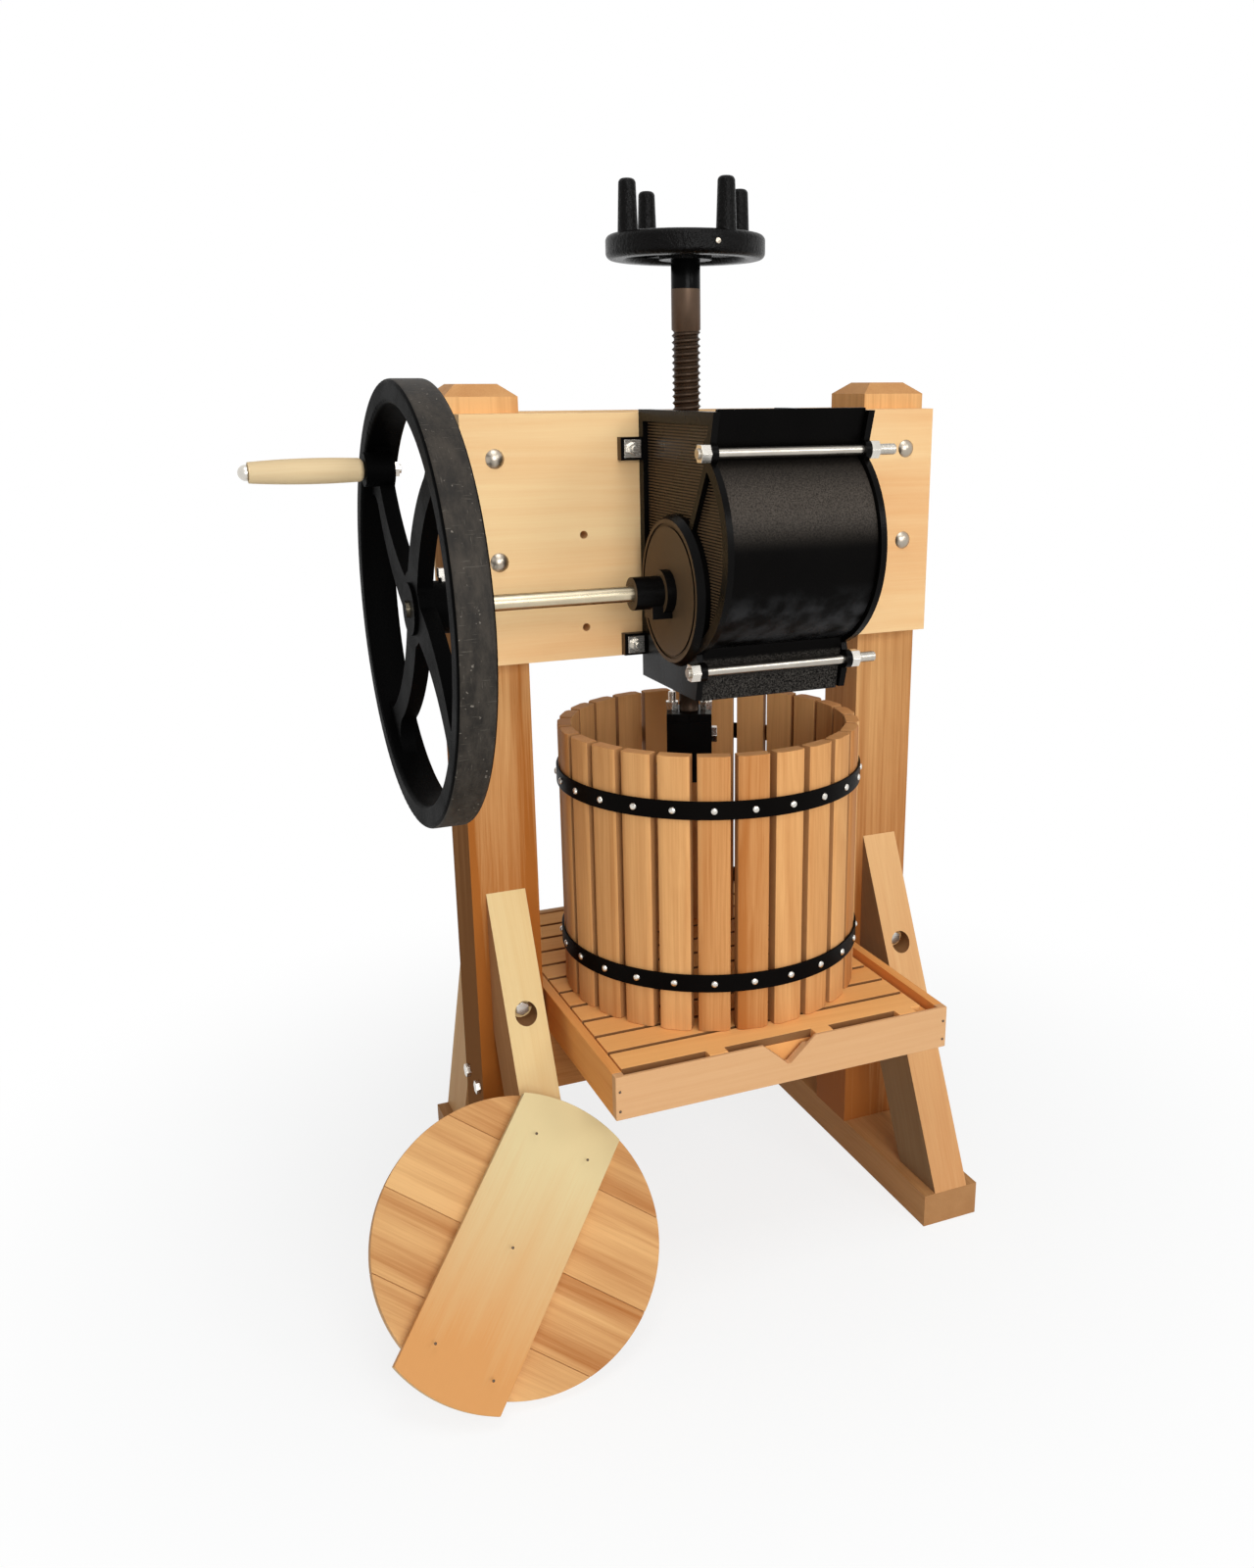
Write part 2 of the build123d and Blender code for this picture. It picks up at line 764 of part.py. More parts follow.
with BuildPart() as grinder_left_plate:
    with BuildSketch(Plane.YZ.offset(-plate_face)):
        add(plate_outline.sketch)
    extrude(amount=plate_thickness)
    with BuildSketch(Plane.YZ.offset(-plate_face)):
        add(plate_panel.sketch)
    extrude(amount=panel_recess, mode=Mode.SUBTRACT)
    with BuildSketch(Plane.YZ.offset(-plate_face + plate_edge)):
        add(plate_outline.sketch)
        add(chamber(cover_wall + cover_clearance), mode=Mode.SUBTRACT)
    extrude(amount=plate_thickness - plate_edge, mode=Mode.SUBTRACT)
    with BuildSketch(left_boss_plane):
        Circle(boss_radius)
    extrude(amount=boss_proud, taper=boss_edge_slope)
    with BuildSketch(left_boss_plane.offset(boss_proud)):
        Circle(boss_groove_radius)
        Circle(boss_groove_radius - boss_groove_width, mode=Mode.SUBTRACT)
    extrude(amount=-boss_groove_depth, mode=Mode.SUBTRACT)
    with BuildSketch(left_boss_plane.offset(boss_proud)):
        Circle(hub_radius)
    extrude(amount=hub_end - boss_face)
    with BuildSketch(left_boss_plane.offset(boss_proud)):
        Circle(hub_collar_radius)
    extrude(amount=hub_collar_length)
    with Locations((-boss_face, shaft_y, shaft_z)):
        Box(hub_lug_length, hub_lug_width, hub_lug_drop, align=(Align.MAX, Align.CENTER, Align.MAX))
    with Locations(*[(-plate_face, header_front, height) for height in ear_heights]):
        Box(ear_length, ear_thickness, ear_height, align=(Align.MAX, Align.MAX, Align.CENTER))
    with Locations(*[spot(-ear_bolt_x, header_front, height, "+y") for height in ear_heights]):
        Hole(mount_hole, ear_thickness)
    with Locations(*rod_seats):
        Hole(rod_radius + bolt_clearance, plate_thickness)
    with Locations(spot(-hub_end, shaft_y, shaft_z, "-x")):
        Hole(bush_radius + seat_clearance, hub_end)
pieces["grinder_left_plate"] = grinder_left_plate
pieces["grinder_right_plate"] = mirrored(grinder_left_plate, Plane.YZ)

# Cast front cover and hopper lip, seated in the rebates of both plates
with BuildPart() as grinder_front_cover:
    with BuildSketch(Plane.YZ):
        add(chamber(0))
        add(chamber(cover_wall), mode=Mode.SUBTRACT)
    extrude(amount=plate_face - plate_edge - cover_clearance, both=True)
pieces["grinder_front_cover"] = grinder_front_cover

# Tie rods in front of the cover, with a nut at each end
with BuildPart() as tie_rods:
    with BuildSketch(Plane.YZ.offset(-plate_face - rod_nut_height - rod_left_spare)):
        with Locations(upper_rod, lower_rod):
            Circle(rod_radius)
    extrude(amount=grinder_width + 2 * rod_nut_height + rod_left_spare + rod_right_spare)
pieces["tie_rods"] = tie_rods
rod_nut_spots = [
    spot(side * plate_face, rod.X, rod.Y, facing)
    for side, facing in ((-1, "-x"), (1, "+x"))
    for rod in (upper_rod, lower_rod)
]
pieces["tie_rod_nuts"] = set_of(hex_nut(rod_radius, rod_nut_size, rod_nut_height), rod_nut_spots)

# Bolts that hold the plates' ears to the front header
mount_stack = header_thickness + ear_thickness + mount_washer_thickness + mount_nut_height
pieces["grinder_mount_bolts"] = set_of(
    carriage_bolt(
        mount_bolt_radius,
        mount_stack + bolt_spare,
        mount_bolt_head_radius,
        mount_bolt_head_height,
    ),
    mount_spots,
)
ear_front = header_front - ear_thickness
nut_front = ear_front - mount_washer_thickness
pieces["grinder_mount_washers"] = set_of(
    hex_nut(mount_bolt_radius, mount_washer_size, mount_washer_thickness, sides=4),
    [spot(side * ear_bolt_x, ear_front, height, "-y") for side in (-1, 1) for height in ear_heights],
)
pieces["grinder_mount_nuts"] = set_of(
    hex_nut(mount_bolt_radius, mount_nut_size, mount_nut_height),
    [spot(side * ear_bolt_x, nut_front, height, "-y") for side in (-1, 1) for height in ear_heights],
)

# Bronze bushes in the plates' hubs
with BuildPart() as left_bearing_bush:
    with BuildSketch(drum_plane.offset(-hub_end)):
        Circle(bush_radius)
        Circle(shaft_radius + running_clearance, mode=Mode.SUBTRACT)
    extrude(amount=hub_end - plate_face + plate_thickness)
pieces["left_bearing_bush"] = left_bearing_bush
pieces["right_bearing_bush"] = mirrored(left_bearing_bush, Plane.YZ)

# Shaft, with cross holes for the drum pins
drum_length = grinder_width - 2 * plate_thickness - 2 * drum_end_gap
shaft_left_end = flywheel_x - wheel_hub_left - shaft_left_spare
drum_pin_spots = [spot(side * drum_pin_x, shaft_y, shaft_z, "+z") for side in (-1, 1)]
with BuildPart() as drive_shaft:
    with BuildSketch(drum_plane.offset(shaft_left_end)):
        Circle(shaft_radius)
    extrude(amount=shaft_right_end - shaft_left_end)
    with Locations(*drum_pin_spots):
        Hole(drum_pin_radius + seat_clearance)
pieces["drive_shaft"] = drive_shaft

# Wooden grinding drum with steel knives let into it
with BuildPart() as grinding_drum:
    with BuildSketch(drum_plane):
        Circle(drum_radius)
        Circle(shaft_radius + seat_clearance, mode=Mode.SUBTRACT)
        with PolarLocations(drum_radius, knife_count):
            Rectangle(
                knife_depth + seat_clearance,
                knife_thickness + 2 * seat_clearance,
                align=(Align.MAX, Align.CENTER),
                mode=Mode.SUBTRACT,
            )
    extrude(amount=drum_length / 2, both=True)
    with Locations(*drum_pin_spots):
        Hole(drum_pin_radius + seat_clearance)
pieces["grinding_drum"] = grinding_drum

with BuildPart() as drum_knives:
    with BuildSketch(drum_plane):
        with PolarLocations(drum_radius + knife_proud, knife_count):
            Rectangle(knife_depth + knife_proud, knife_thickness, align=(Align.MAX, Align.CENTER))
    extrude(amount=drum_length / 2 - knife_inset, both=True)
pieces["drum_knives"] = drum_knives

with BuildPart() as drum_pins:
    with Locations(*drum_pin_spots):
        Cylinder(drum_pin_radius, 2 * (drum_radius - drum_pin_inset))
pieces["drum_pins"] = drum_pins

# Flywheel: rounded rim, curved webbed spokes, hub and crank boss
rim_middle_radius = (rim_inner_radius + flywheel_radius) / 2
spoke_stations = (
    (0, spoke_hub_turn, spoke_hub_width / 2),
    (rim_middle_radius / 2, spoke_middle_turn, (spoke_hub_width + spoke_rim_width) / 4),
    (rim_middle_radius, crank_turn, spoke_rim_width / 2),
)


def spoke_edge(side):
    """Three points along one edge of the curved spoke that carries the crank."""
    return [
        (
            radius * cos(radians(turn)) - side * half_width * sin(radians(turn)),
            radius * sin(radians(turn)) + side * half_width * cos(radians(turn)),
        )
        for radius, turn, half_width in spoke_stations
    ]


with BuildSketch() as wheel_spoke:
    with BuildLine():
        upper_edge = ThreePointArc(*spoke_edge(1))
        lower_edge = ThreePointArc(*spoke_edge(-1))
        Line(upper_edge @ 0, lower_edge @ 0)
        Line(upper_edge @ 1, lower_edge @ 1)
    make_face()

with BuildSketch() as wheel_windows:
    Circle(rim_inner_radius + window_overlap)
    Circle(window_inner_radius, mode=Mode.SUBTRACT)
    with PolarLocations(0, spoke_count):
        add(wheel_spoke.sketch, mode=Mode.SUBTRACT)
    corners = wheel_windows.vertices().sort_by_distance((0, 0, 0))
    fillet(corners[len(corners) // 2 :], radius=window_outer_round)
    inner_corners = wheel_windows.vertices().sort_by_distance((0, 0, 0))[: len(corners) // 2]
    fillet(inner_corners, radius=window_inner_round)

wheel_face = flywheel_width / 2
crank_spot = (crank_radius * cos(radians(crank_turn)), crank_radius * sin(radians(crank_turn)))
set_screw_x = flywheel_x + (web_thickness / 2 + wheel_hub_right) / 2
set_screw_seat = wheel_hub_radius + set_screw_stand
with BuildPart() as flywheel:
    with BuildSketch(wheel_plane):
        Circle(flywheel_radius)
        Circle(rim_inner_radius, mode=Mode.SUBTRACT)
    extrude(amount=wheel_face, both=True)
    fillet(flywheel.edges().filter_by(GeomType.CIRCLE), radius=rim_round)
    with BuildSketch(wheel_plane):
        Circle(rim_middle_radius)
        add(wheel_windows.sketch, mode=Mode.SUBTRACT)
    extrude(amount=web_thickness / 2, both=True)
    with BuildSketch(wheel_plane.offset(-wheel_hub_left)):
        Circle(wheel_hub_radius)
    extrude(amount=wheel_hub_left + wheel_hub_right)
    with BuildSketch(wheel_plane.offset(-wheel_face - crank_boss_proud)):
        with Locations(crank_spot):
            Circle(crank_boss_radius)
    extrude(amount=wheel_face + crank_boss_proud + web_thickness / 2)
    with Locations(spot(flywheel_x, shaft_y, shaft_z, "-x")):
        Hole(shaft_radius + seat_clearance)
    with Locations(spot(flywheel_x, crank_y, crank_z, "-x")):
        Hole(crank_bolt_radius + seat_clearance)
    with Locations(spot(set_screw_x, shaft_y, shaft_z + set_screw_seat, "+z")):
        Hole(set_screw_radius + seat_clearance, set_screw_seat)
pieces["flywheel"] = flywheel
set_screw_length = set_screw_seat - shaft_radius - running_clearance
pieces["flywheel_set_screw"] = set_of(
    headed_bolt(set_screw_radius, set_screw_length, set_screw_head, set_screw_head, sides=4),
    [spot(set_screw_x, shaft_y, shaft_z + set_screw_seat, "+z")],
)

# Crank bolt with the loose wooden grip on it
boss_outer = flywheel_x - wheel_face - crank_boss_proud
grip_start = boss_outer - grip_end_gap
grip_end = grip_start - grip_length
crank_seat = grip_end - grip_end_gap
crank_nut_x = flywheel_x + web_thickness / 2
pieces["crank_bolt"] = set_of(
    carriage_bolt(
        crank_bolt_radius,
        crank_nut_x - crank_seat + crank_nut_height + crank_bolt_spare,
        crank_head_radius,
        crank_head_height,
    ),
    [spot(crank_seat, crank_y, crank_z, "-x")],
)
pieces["crank_nut"] = set_of(
    hex_nut(crank_bolt_radius, crank_nut_size, crank_nut_height),
    [spot(crank_nut_x, crank_y, crank_z, "+x")],
)
grip_bore = crank_bolt_radius + running_clearance
grip_round = (
    grip_shoulder * (1 - cos(radians(45))),
    grip_wheel_radius + (grip_shoulder_radius - grip_wheel_radius) * sin(radians(45)),
)
grip_plane = Plane(origin=(grip_start, crank_y, crank_z), x_dir=(-1, 0, 0), z_dir=(0, -1, 0))
with BuildPart() as crank_grip:
    with BuildSketch(grip_plane):
        with BuildLine():
            ThreePointArc(
                (grip_shoulder, grip_shoulder_radius),
                (grip_length / 2, grip_middle_radius),
                (grip_length, grip_end_radius),
            )
            Polyline(
                (grip_length, grip_end_radius),
                (grip_length, grip_bore),
                (0, grip_bore),
                (0, grip_wheel_radius),
            )
            ThreePointArc((0, grip_wheel_radius), grip_round, (grip_shoulder, grip_shoulder_radius))
        make_face()
    revolve(axis=Axis((grip_start, crank_y, crank_z), (-1, 0, 0)))
pieces["crank_grip"] = crank_grip

# Press screw: hand wheel end, plain shank, neck and button held by the foot
retainer_top = press_foot_top + retainer_thickness
button_top = press_foot_top - axial_clearance
shoulder = foot_stud_top + screw_shoulder_gap
wheel_pin_spot = spot(0, 0, wheel_bottom + wheel_height / 2, "-y")
with BuildPart() as press_screw:
    with BuildSketch(Plane.XY.offset(button_top - button_height)):
        Circle(button_radius)
    extrude(amount=button_height)
    with BuildSketch(Plane.XY.offset(button_top)):
        Circle(neck_radius)
    extrude(amount=shoulder - button_top)
    with BuildSketch(Plane.XY.offset(shoulder)):
        Circle(screw_radius)
    extrude(amount=screw_top - shoulder)
    with Locations(wheel_pin_spot):
        Hole(wheel_pin_radius + seat_clearance)
pieces["press_screw"] = press_screw

# Hand wheel with four upright prongs on its rim
with BuildPart() as screw_wheel:
    with BuildSketch(Plane.XY.offset(wheel_bottom)):
        Circle(hand_wheel_radius)
        Circle(hand_wheel_radius - hand_rim_width, mode=Mode.SUBTRACT)
    extrude(amount=wheel_height)
    fillet(screw_wheel.edges().filter_by(GeomType.CIRCLE), radius=hand_rim_round)
    with BuildSketch(Plane.XY.offset(wheel_bottom)):
        Circle(hand_hub_radius)
    extrude(amount=wheel_height)
    with BuildSketch(Plane.XY.offset(wheel_bottom + (wheel_height - hand_spoke_height) / 2)):
        Rectangle(2 * prong_circle, hand_spoke_width, rotation=prong_turn)
        Rectangle(hand_spoke_width, 2 * prong_circle, rotation=prong_turn)
    extrude(amount=hand_spoke_height)
    with BuildSketch(Plane.XY.offset(wheel_bottom + wheel_height - prong_root)):
        with PolarLocations(prong_circle, prong_count, start_angle=prong_turn):
            Circle(prong_radius)
    extrude(amount=prong_height + prong_root, taper=prong_taper)
    fillet(screw_wheel.edges().group_by(Axis.Z)[-1], radius=prong_round)
    with Locations((0, 0, wheel_bottom)):
        Hole(screw_radius + seat_clearance)
    with Locations(wheel_pin_spot):
        Hole(wheel_pin_radius + seat_clearance)
pieces["screw_wheel"] = screw_wheel

with BuildPart() as wheel_pin:
    with Locations(wheel_pin_spot):
        Cylinder(wheel_pin_radius, 2 * (hand_hub_radius - wheel_pin_inset))
pieces["wheel_pin"] = wheel_pin

# Screw nut clamped between the header boards
with BuildPart() as screw_nut:
    with BuildSketch(Plane.XY.offset(nut_block_bottom)):
        Rectangle(nut_block_width, post_depth)
        Circle(screw_radius + running_clearance, mode=Mode.SUBTRACT)
    extrude(amount=nut_block_height)
    with Locations(*nut_bolt_spots):
        Hole(header_bolt_hole, nut_bolt_length)
pieces["screw_nut"] = screw_nut
with BuildPart() as screw_nut_bolts:
    with Locations(*nut_bolt_spots):
        add(headed_bolt(header_bolt_radius, nut_bolt_length, brace_bolt_head, brace_bolt_head_height))
    nut_floor = header_front + nut_bore_depth
    with Locations(*[spot(side * nut_bolt_x, nut_floor, nut_bolt_height, "-y") for side in (-1, 1)]):
        add(hex_nut(header_bolt_radius, timber_nut_size, timber_nut_height))
pieces["screw_nut_bolts"] = screw_nut_bolts

# Press foot with the split retainer that holds the screw's button
foot_bottom = press_foot_top - press_foot_height
stud_spots = [(-foot_stud_x, 0), (foot_stud_x, 0)]
side_bolt_spot = spot(press_foot_size / 2, 0, side_bolt_height, "+x")
with BuildPart() as press_foot:
    with BuildSketch(Plane.XY.offset(foot_bottom)):
        Circle(foot_flange_radius)
    extrude(amount=foot_flange_height)
    with BuildSketch(Plane.XY.offset(foot_bottom)):
        Rectangle(press_foot_size, press_foot_size)
    extrude(amount=press_foot_height)
    with Locations((0, 0, press_foot_top)):
        Hole(button_radius + running_clearance, button_height + 2 * axial_clearance)
    with Locations(*[(x, y, press_foot_top) for x, y in stud_spots]):
        Hole(foot_stud_radius + nut_clearance, foot_stud_depth)
    with Locations(side_bolt_spot):
        Hole(side_bolt_radius + nut_clearance, side_bolt_length)
pieces["press_foot"] = press_foot

with BuildPart() as foot_retainer:
    with BuildSketch(Plane.XY.offset(press_foot_top)):
        Rectangle(press_foot_size, press_foot_size)
        Circle(neck_radius + running_clearance, mode=Mode.SUBTRACT)
        Rectangle(retainer_split, press_foot_size, mode=Mode.SUBTRACT)
        with Locations(*stud_spots):
            Circle(foot_stud_radius + nut_clearance, mode=Mode.SUBTRACT)
    extrude(amount=retainer_thickness)
pieces["foot_retainer"] = foot_retainer

with BuildPart() as foot_studs:
    with BuildSketch(Plane.XY.offset(press_foot_top - foot_stud_depth)):
        with Locations(*stud_spots):
            Circle(foot_stud_radius)
    extrude(amount=foot_stud_top - press_foot_top + foot_stud_depth)
pieces["foot_studs"] = foot_studs
pieces["foot_nuts"] = set_of(
    hex_nut(foot_stud_radius, foot_nut_size, foot_nut_height),
    [spot(x, y, retainer_top, "+z") for x, y in stud_spots],
)
pieces["foot_side_bolt"] = set_of(
    headed_bolt(side_bolt_radius, side_bolt_length, side_bolt_head, side_bolt_head_height),
    [side_bolt_spot],
)
for name in ("press_foot", "foot_retainer", "foot_studs", "foot_nuts", "foot_side_bolt"):
    pieces[name] = swung(pieces[name], press_foot_turn)

# Pressing board, standing on the floor and leaning on the left front brace
lean = radians(disc_lean)
disc_z = disc_floor_gap + disc_radius * cos(lean) + disc_thickness * sin(lean)
touch_across = -post_x - brace_width / 2 - disc_x
touch_up = sqrt(disc_radius**2 - touch_across**2)
touch_z = disc_z - disc_thickness * sin(lean) + touch_up * cos(lean)
touch_y = -post_face + ((touch_z - brace_top) * sin(brace_slope) - disc_brace_gap) / cos(brace_slope)
disc_y = touch_y - touch_up * sin(lean) - disc_thickness * cos(lean)
disc_plane = Plane(origin=(disc_x, disc_y, disc_z), x_dir=(1, 0, 0), z_dir=(0, -cos(lean), sin(lean)))

with BuildPart() as disc_boards:
    with BuildSketch(disc_plane):
        Circle(disc_radius)
        for seam in disc_seams:
            with Locations(Location((0, 0), cleat_turn)):
                with Locations((seam, 0)):
                    Rectangle(disc_seam_gap, 2 * disc_radius, mode=Mode.SUBTRACT)
    extrude(amount=-disc_thickness)
pieces["disc_boards"] = disc_boards

with BuildPart() as disc_cleat:
    with BuildSketch(disc_plane):
        with Locations(Location((0, 0), cleat_turn)):
            with Locations((cleat_slip, cleat_lift)):
                Circle(disc_radius + cleat_overhang)
                Rectangle(2 * (disc_radius + cleat_overhang), cleat_width, mode=Mode.INTERSECT)
    extrude(amount=cleat_thickness)
pieces["disc_cleat"] = disc_cleat

os.makedirs("parts", exist_ok=True)
for name, piece in pieces.items():
    piece.part.label = name
    export_step(piece.part, f"parts/{name}.step")
print(len(pieces), "pieces; board stands at", round(disc_y, 2), round(disc_z, 2))
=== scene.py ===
# %% [markdown]
# # Dressing a cider press
# The press arrives as solids from its drawing, each one in its place and on the body that carries it. This lesson
# gives them what a drawing leaves out: eased edges, grain, cast skin, a thread, ribs, screws, and light to see by.

# %% Load the frame
import json
from math import atan2, cos, pi, radians, sin

import bmesh
import bpy
from mathutils import Matrix, Vector

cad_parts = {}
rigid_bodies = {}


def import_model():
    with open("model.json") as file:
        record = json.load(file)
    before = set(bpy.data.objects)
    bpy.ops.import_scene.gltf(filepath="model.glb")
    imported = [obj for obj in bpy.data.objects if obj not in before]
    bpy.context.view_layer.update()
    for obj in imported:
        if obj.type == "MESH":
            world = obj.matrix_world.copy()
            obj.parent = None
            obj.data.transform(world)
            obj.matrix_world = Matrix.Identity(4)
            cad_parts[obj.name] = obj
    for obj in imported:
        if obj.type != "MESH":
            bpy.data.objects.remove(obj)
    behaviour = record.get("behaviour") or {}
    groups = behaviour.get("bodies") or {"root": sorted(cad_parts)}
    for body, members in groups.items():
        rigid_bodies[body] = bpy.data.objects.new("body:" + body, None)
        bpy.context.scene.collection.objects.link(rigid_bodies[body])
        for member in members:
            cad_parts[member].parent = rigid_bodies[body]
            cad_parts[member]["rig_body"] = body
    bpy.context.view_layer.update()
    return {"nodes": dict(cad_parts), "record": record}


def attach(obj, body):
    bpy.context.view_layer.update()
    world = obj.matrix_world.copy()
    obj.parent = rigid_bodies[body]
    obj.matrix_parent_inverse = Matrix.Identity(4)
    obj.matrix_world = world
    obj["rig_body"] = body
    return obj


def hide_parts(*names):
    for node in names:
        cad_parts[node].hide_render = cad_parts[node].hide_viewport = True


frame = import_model()
nodes = frame["nodes"]
slot_of = {entry["node"]: entry["material_slot"] for entry in frame["record"]["subparts"]}
MM = 0.001

# %% [markdown]
# ## Camera
# The photograph was taken standing a little to the left of the press, with a lens held at chest height and tipped
# down. Its straight timber edges gave the place, the turn and the focal length. A camera could also be turned by eye
# until it looks right, but measured numbers put it on firm ground.

# %% Camera
IMAGE_WIDTH = 1280
IMAGE_HEIGHT = 1600
FOCAL_PIXELS = 1390.2
LENS_CENTRE = (723.07, 814.66)
SENSOR = 36.0
CAMERA_PLACE = (-0.74897, -1.73390, 1.18632)
YAW = 0.422
PITCH = 0.295
ROLL = -0.004

sight = Vector((sin(YAW) * cos(PITCH), cos(YAW) * cos(PITCH), -sin(PITCH)))
sideways = Vector((cos(YAW), -sin(YAW), 0))
upward = sideways.cross(sight)
right = cos(ROLL) * sideways + sin(ROLL) * upward
head = cos(ROLL) * upward - sin(ROLL) * sideways
view_turn = Matrix((right, head, -sight)).transposed()

lens = bpy.data.cameras.new("photo_camera")
lens.sensor_fit = "HORIZONTAL"
lens.sensor_width = SENSOR
lens.lens = FOCAL_PIXELS * SENSOR / IMAGE_WIDTH
lens.shift_x = (IMAGE_WIDTH / 2 - LENS_CENTRE[0]) / IMAGE_WIDTH
lens.shift_y = (LENS_CENTRE[1] - IMAGE_HEIGHT / 2) / IMAGE_WIDTH
camera = bpy.data.objects.new("photo_camera", lens)
camera.matrix_world = Matrix.Translation(CAMERA_PLACE) @ view_turn.to_4x4()
bpy.context.scene.collection.objects.link(camera)
bpy.context.scene.camera = camera
bpy.context.scene.view_settings.view_transform = "Standard"
print("camera: lens", round(lens.lens, 1), "mm")

# %% [markdown]
# ## Node graphs written as sums
# A finish is mostly arithmetic on noise. Nodes can be placed and linked one by one, but sums soon get lost that way.
# Here one small class stands for a socket, so that `1 - mask` adds a Math node, and one method adds any other node.
# The same two serve materials and Geometry Nodes alike.


# %% A value in a graph
class Wire:
    """A value in a node graph: sums and products on it become Math nodes."""

    def __init__(self, graph, socket):
        self.graph = graph
        self.socket = socket

    def math(self, operation, *others):
        values = dict(enumerate((self,) + others))
        return self.graph.add("ShaderNodeMath", {"operation": operation}, values)

    def __add__(self, other):
        return self.math("ADD", other)

    def __mul__(self, other):
        return self.math("MULTIPLY", other)

    def __sub__(self, other):
        return self.math("SUBTRACT", other)

    def __truediv__(self, other):
        return self.math("DIVIDE", other)

    def __rsub__(self, other):
        return self.graph.add("ShaderNodeMath", {"operation": "SUBTRACT"}, {0: other, 1: self})

    __radd__ = __add__
    __rmul__ = __mul__

    def between(self, low, high):
        """0 at low, 1 at high, smooth between; low may be the larger of the two."""
        return self.graph.add(
            "ShaderNodeMapRange",
            {"interpolation_type": "SMOOTHSTEP"},
            {"Value": self, "From Min": low, "From Max": high},
        )


print("value helper:", Wire.__name__, "stands for a socket")


# %% A tree of nodes
class Graph:
    """A node tree with one way to add a node: its settings first, then its sockets."""

    def __init__(self, tree):
        self.tree = tree

    def add(self, kind, settings=None, sockets=None, out=0):
        node = self.tree.nodes.new(kind)
        for name, value in (settings or {}).items():
            setattr(node, name, value)
        for key, value in (sockets or {}).items():
            named = [s for s in node.inputs if s.identifier == key]
            target = named[0] if named else node.inputs[key]
            if isinstance(value, Wire):
                self.tree.links.new(value.socket, target)
            else:
                target.default_value = value
        return Wire(self, node.outputs[out])


print("tree helper:", Graph.__name__, "stands for a node tree")


# %% Material helper
class Finish(Graph):
    """A material: a principled shader, and the pattern helpers that feed it."""

    def __init__(self, name, **fixed):
        self.material = bpy.data.materials.new(name)
        self.material.use_nodes = True
        super().__init__(self.material.node_tree)
        self.shader = self.tree.nodes["Principled BSDF"]
        for socket, value in fixed.items():
            self.feed(socket.replace("_", " ").title().replace("Ior", "IOR"), value)

    def feed(self, socket, value):
        if isinstance(value, Wire):
            self.tree.links.new(value.socket, self.shader.inputs[socket])
        else:
            self.shader.inputs[socket].default_value = value

    def place(self):
        return self.add("ShaderNodeTexCoord", out="Object")

    def noise(self, vector, scale, detail=2.0, rough=0.5):
        sockets = {"Vector": vector, "Scale": scale, "Detail": detail, "Roughness": rough}
        return self.add("ShaderNodeTexNoise", None, sockets, out="Fac")

    def drawn(self, vector, scales, detail=2.0, rough=0.5):
        """Noise with a scale of its own along each axis, so that it draws out into lines."""
        stretched = self.add("ShaderNodeVectorMath", {"operation": "MULTIPLY"}, {0: vector, 1: scales})
        return self.noise(stretched, 1.0, detail, rough)

    def mix(self, amount, first, second):
        sockets = {"Factor_Float": amount, "A_Color": first, "B_Color": second}
        return self.add("ShaderNodeMix", {"data_type": "RGBA"}, sockets, out=2)

    def bump(self, height, depth, strength=1.0):
        sockets = {"Height": height, "Distance": depth, "Strength": strength}
        self.feed("Normal", self.add("ShaderNodeBump", None, sockets))


def paint(red, green, blue):
    """A colour with full alpha."""
    return (red, green, blue, 1.0)


WHITE = paint(1, 1, 1)
print("material helper:", Finish.__name__)

# %% [markdown]
# ## Stage and light
# A studio would roll white paper down a wall and over the floor. Here a pale floor keeps the soft shadow under the
# press and fades to white further out, where a horizon would only distract. The white is there only for rays that
# look at it, straight or in a mirror, so it adds no light to the press.


# %% Floor and surroundings
def shown(graph):
    """1 where the background is looked at, straight or in a mirror, and 0 where it only gives light."""
    camera_ray, glossy_ray, clear_ray = [
        graph.add("ShaderNodeLightPath", out="Is %s Ray" % kind) for kind in ("Camera", "Glossy", "Transmission")
    ]
    return camera_ray.math("MAXIMUM", glossy_ray).math("MAXIMUM", clear_ray)


FLOOR_SIZE = 30.0
FLOOR_COLOUR = paint(0.93, 0.97, 0.98)
FADE_NEAR = 0.3
FADE_FAR = 1.3
VEIL = 0.78
AMBIENT = 0.32
floor_mesh = bpy.data.meshes.new("studio_floor")
edge = FLOOR_SIZE / 2
corners = [(-edge, -edge, 0), (edge, -edge, 0), (edge, edge, 0), (-edge, edge, 0)]
floor_mesh.from_pydata(corners, [], [(0, 1, 2, 3)])
floor = bpy.data.objects.new("studio_floor", floor_mesh)
bpy.context.scene.collection.objects.link(floor)

floor_finish = Finish("studio floor", base_color=FLOOR_COLOUR, roughness=0.9)
reach = floor_finish.add("ShaderNodeVectorMath", {"operation": "LENGTH"}, {0: floor_finish.place()}, out="Value")
veil = (reach.between(FADE_NEAR, FADE_FAR) * (1 - VEIL) + VEIL) * shown(floor_finish)
glow = floor_finish.add("ShaderNodeEmission", None, {"Color": WHITE, "Strength": 1.0})
lit = Wire(floor_finish, floor_finish.shader.outputs[0])
faded = floor_finish.add("ShaderNodeMixShader", None, {0: veil, 1: lit, 2: glow})
floor_output = floor_finish.tree.nodes["Material Output"]
floor_finish.tree.links.new(faded.socket, floor_output.inputs["Surface"])
floor_mesh.materials.append(floor_finish.material)

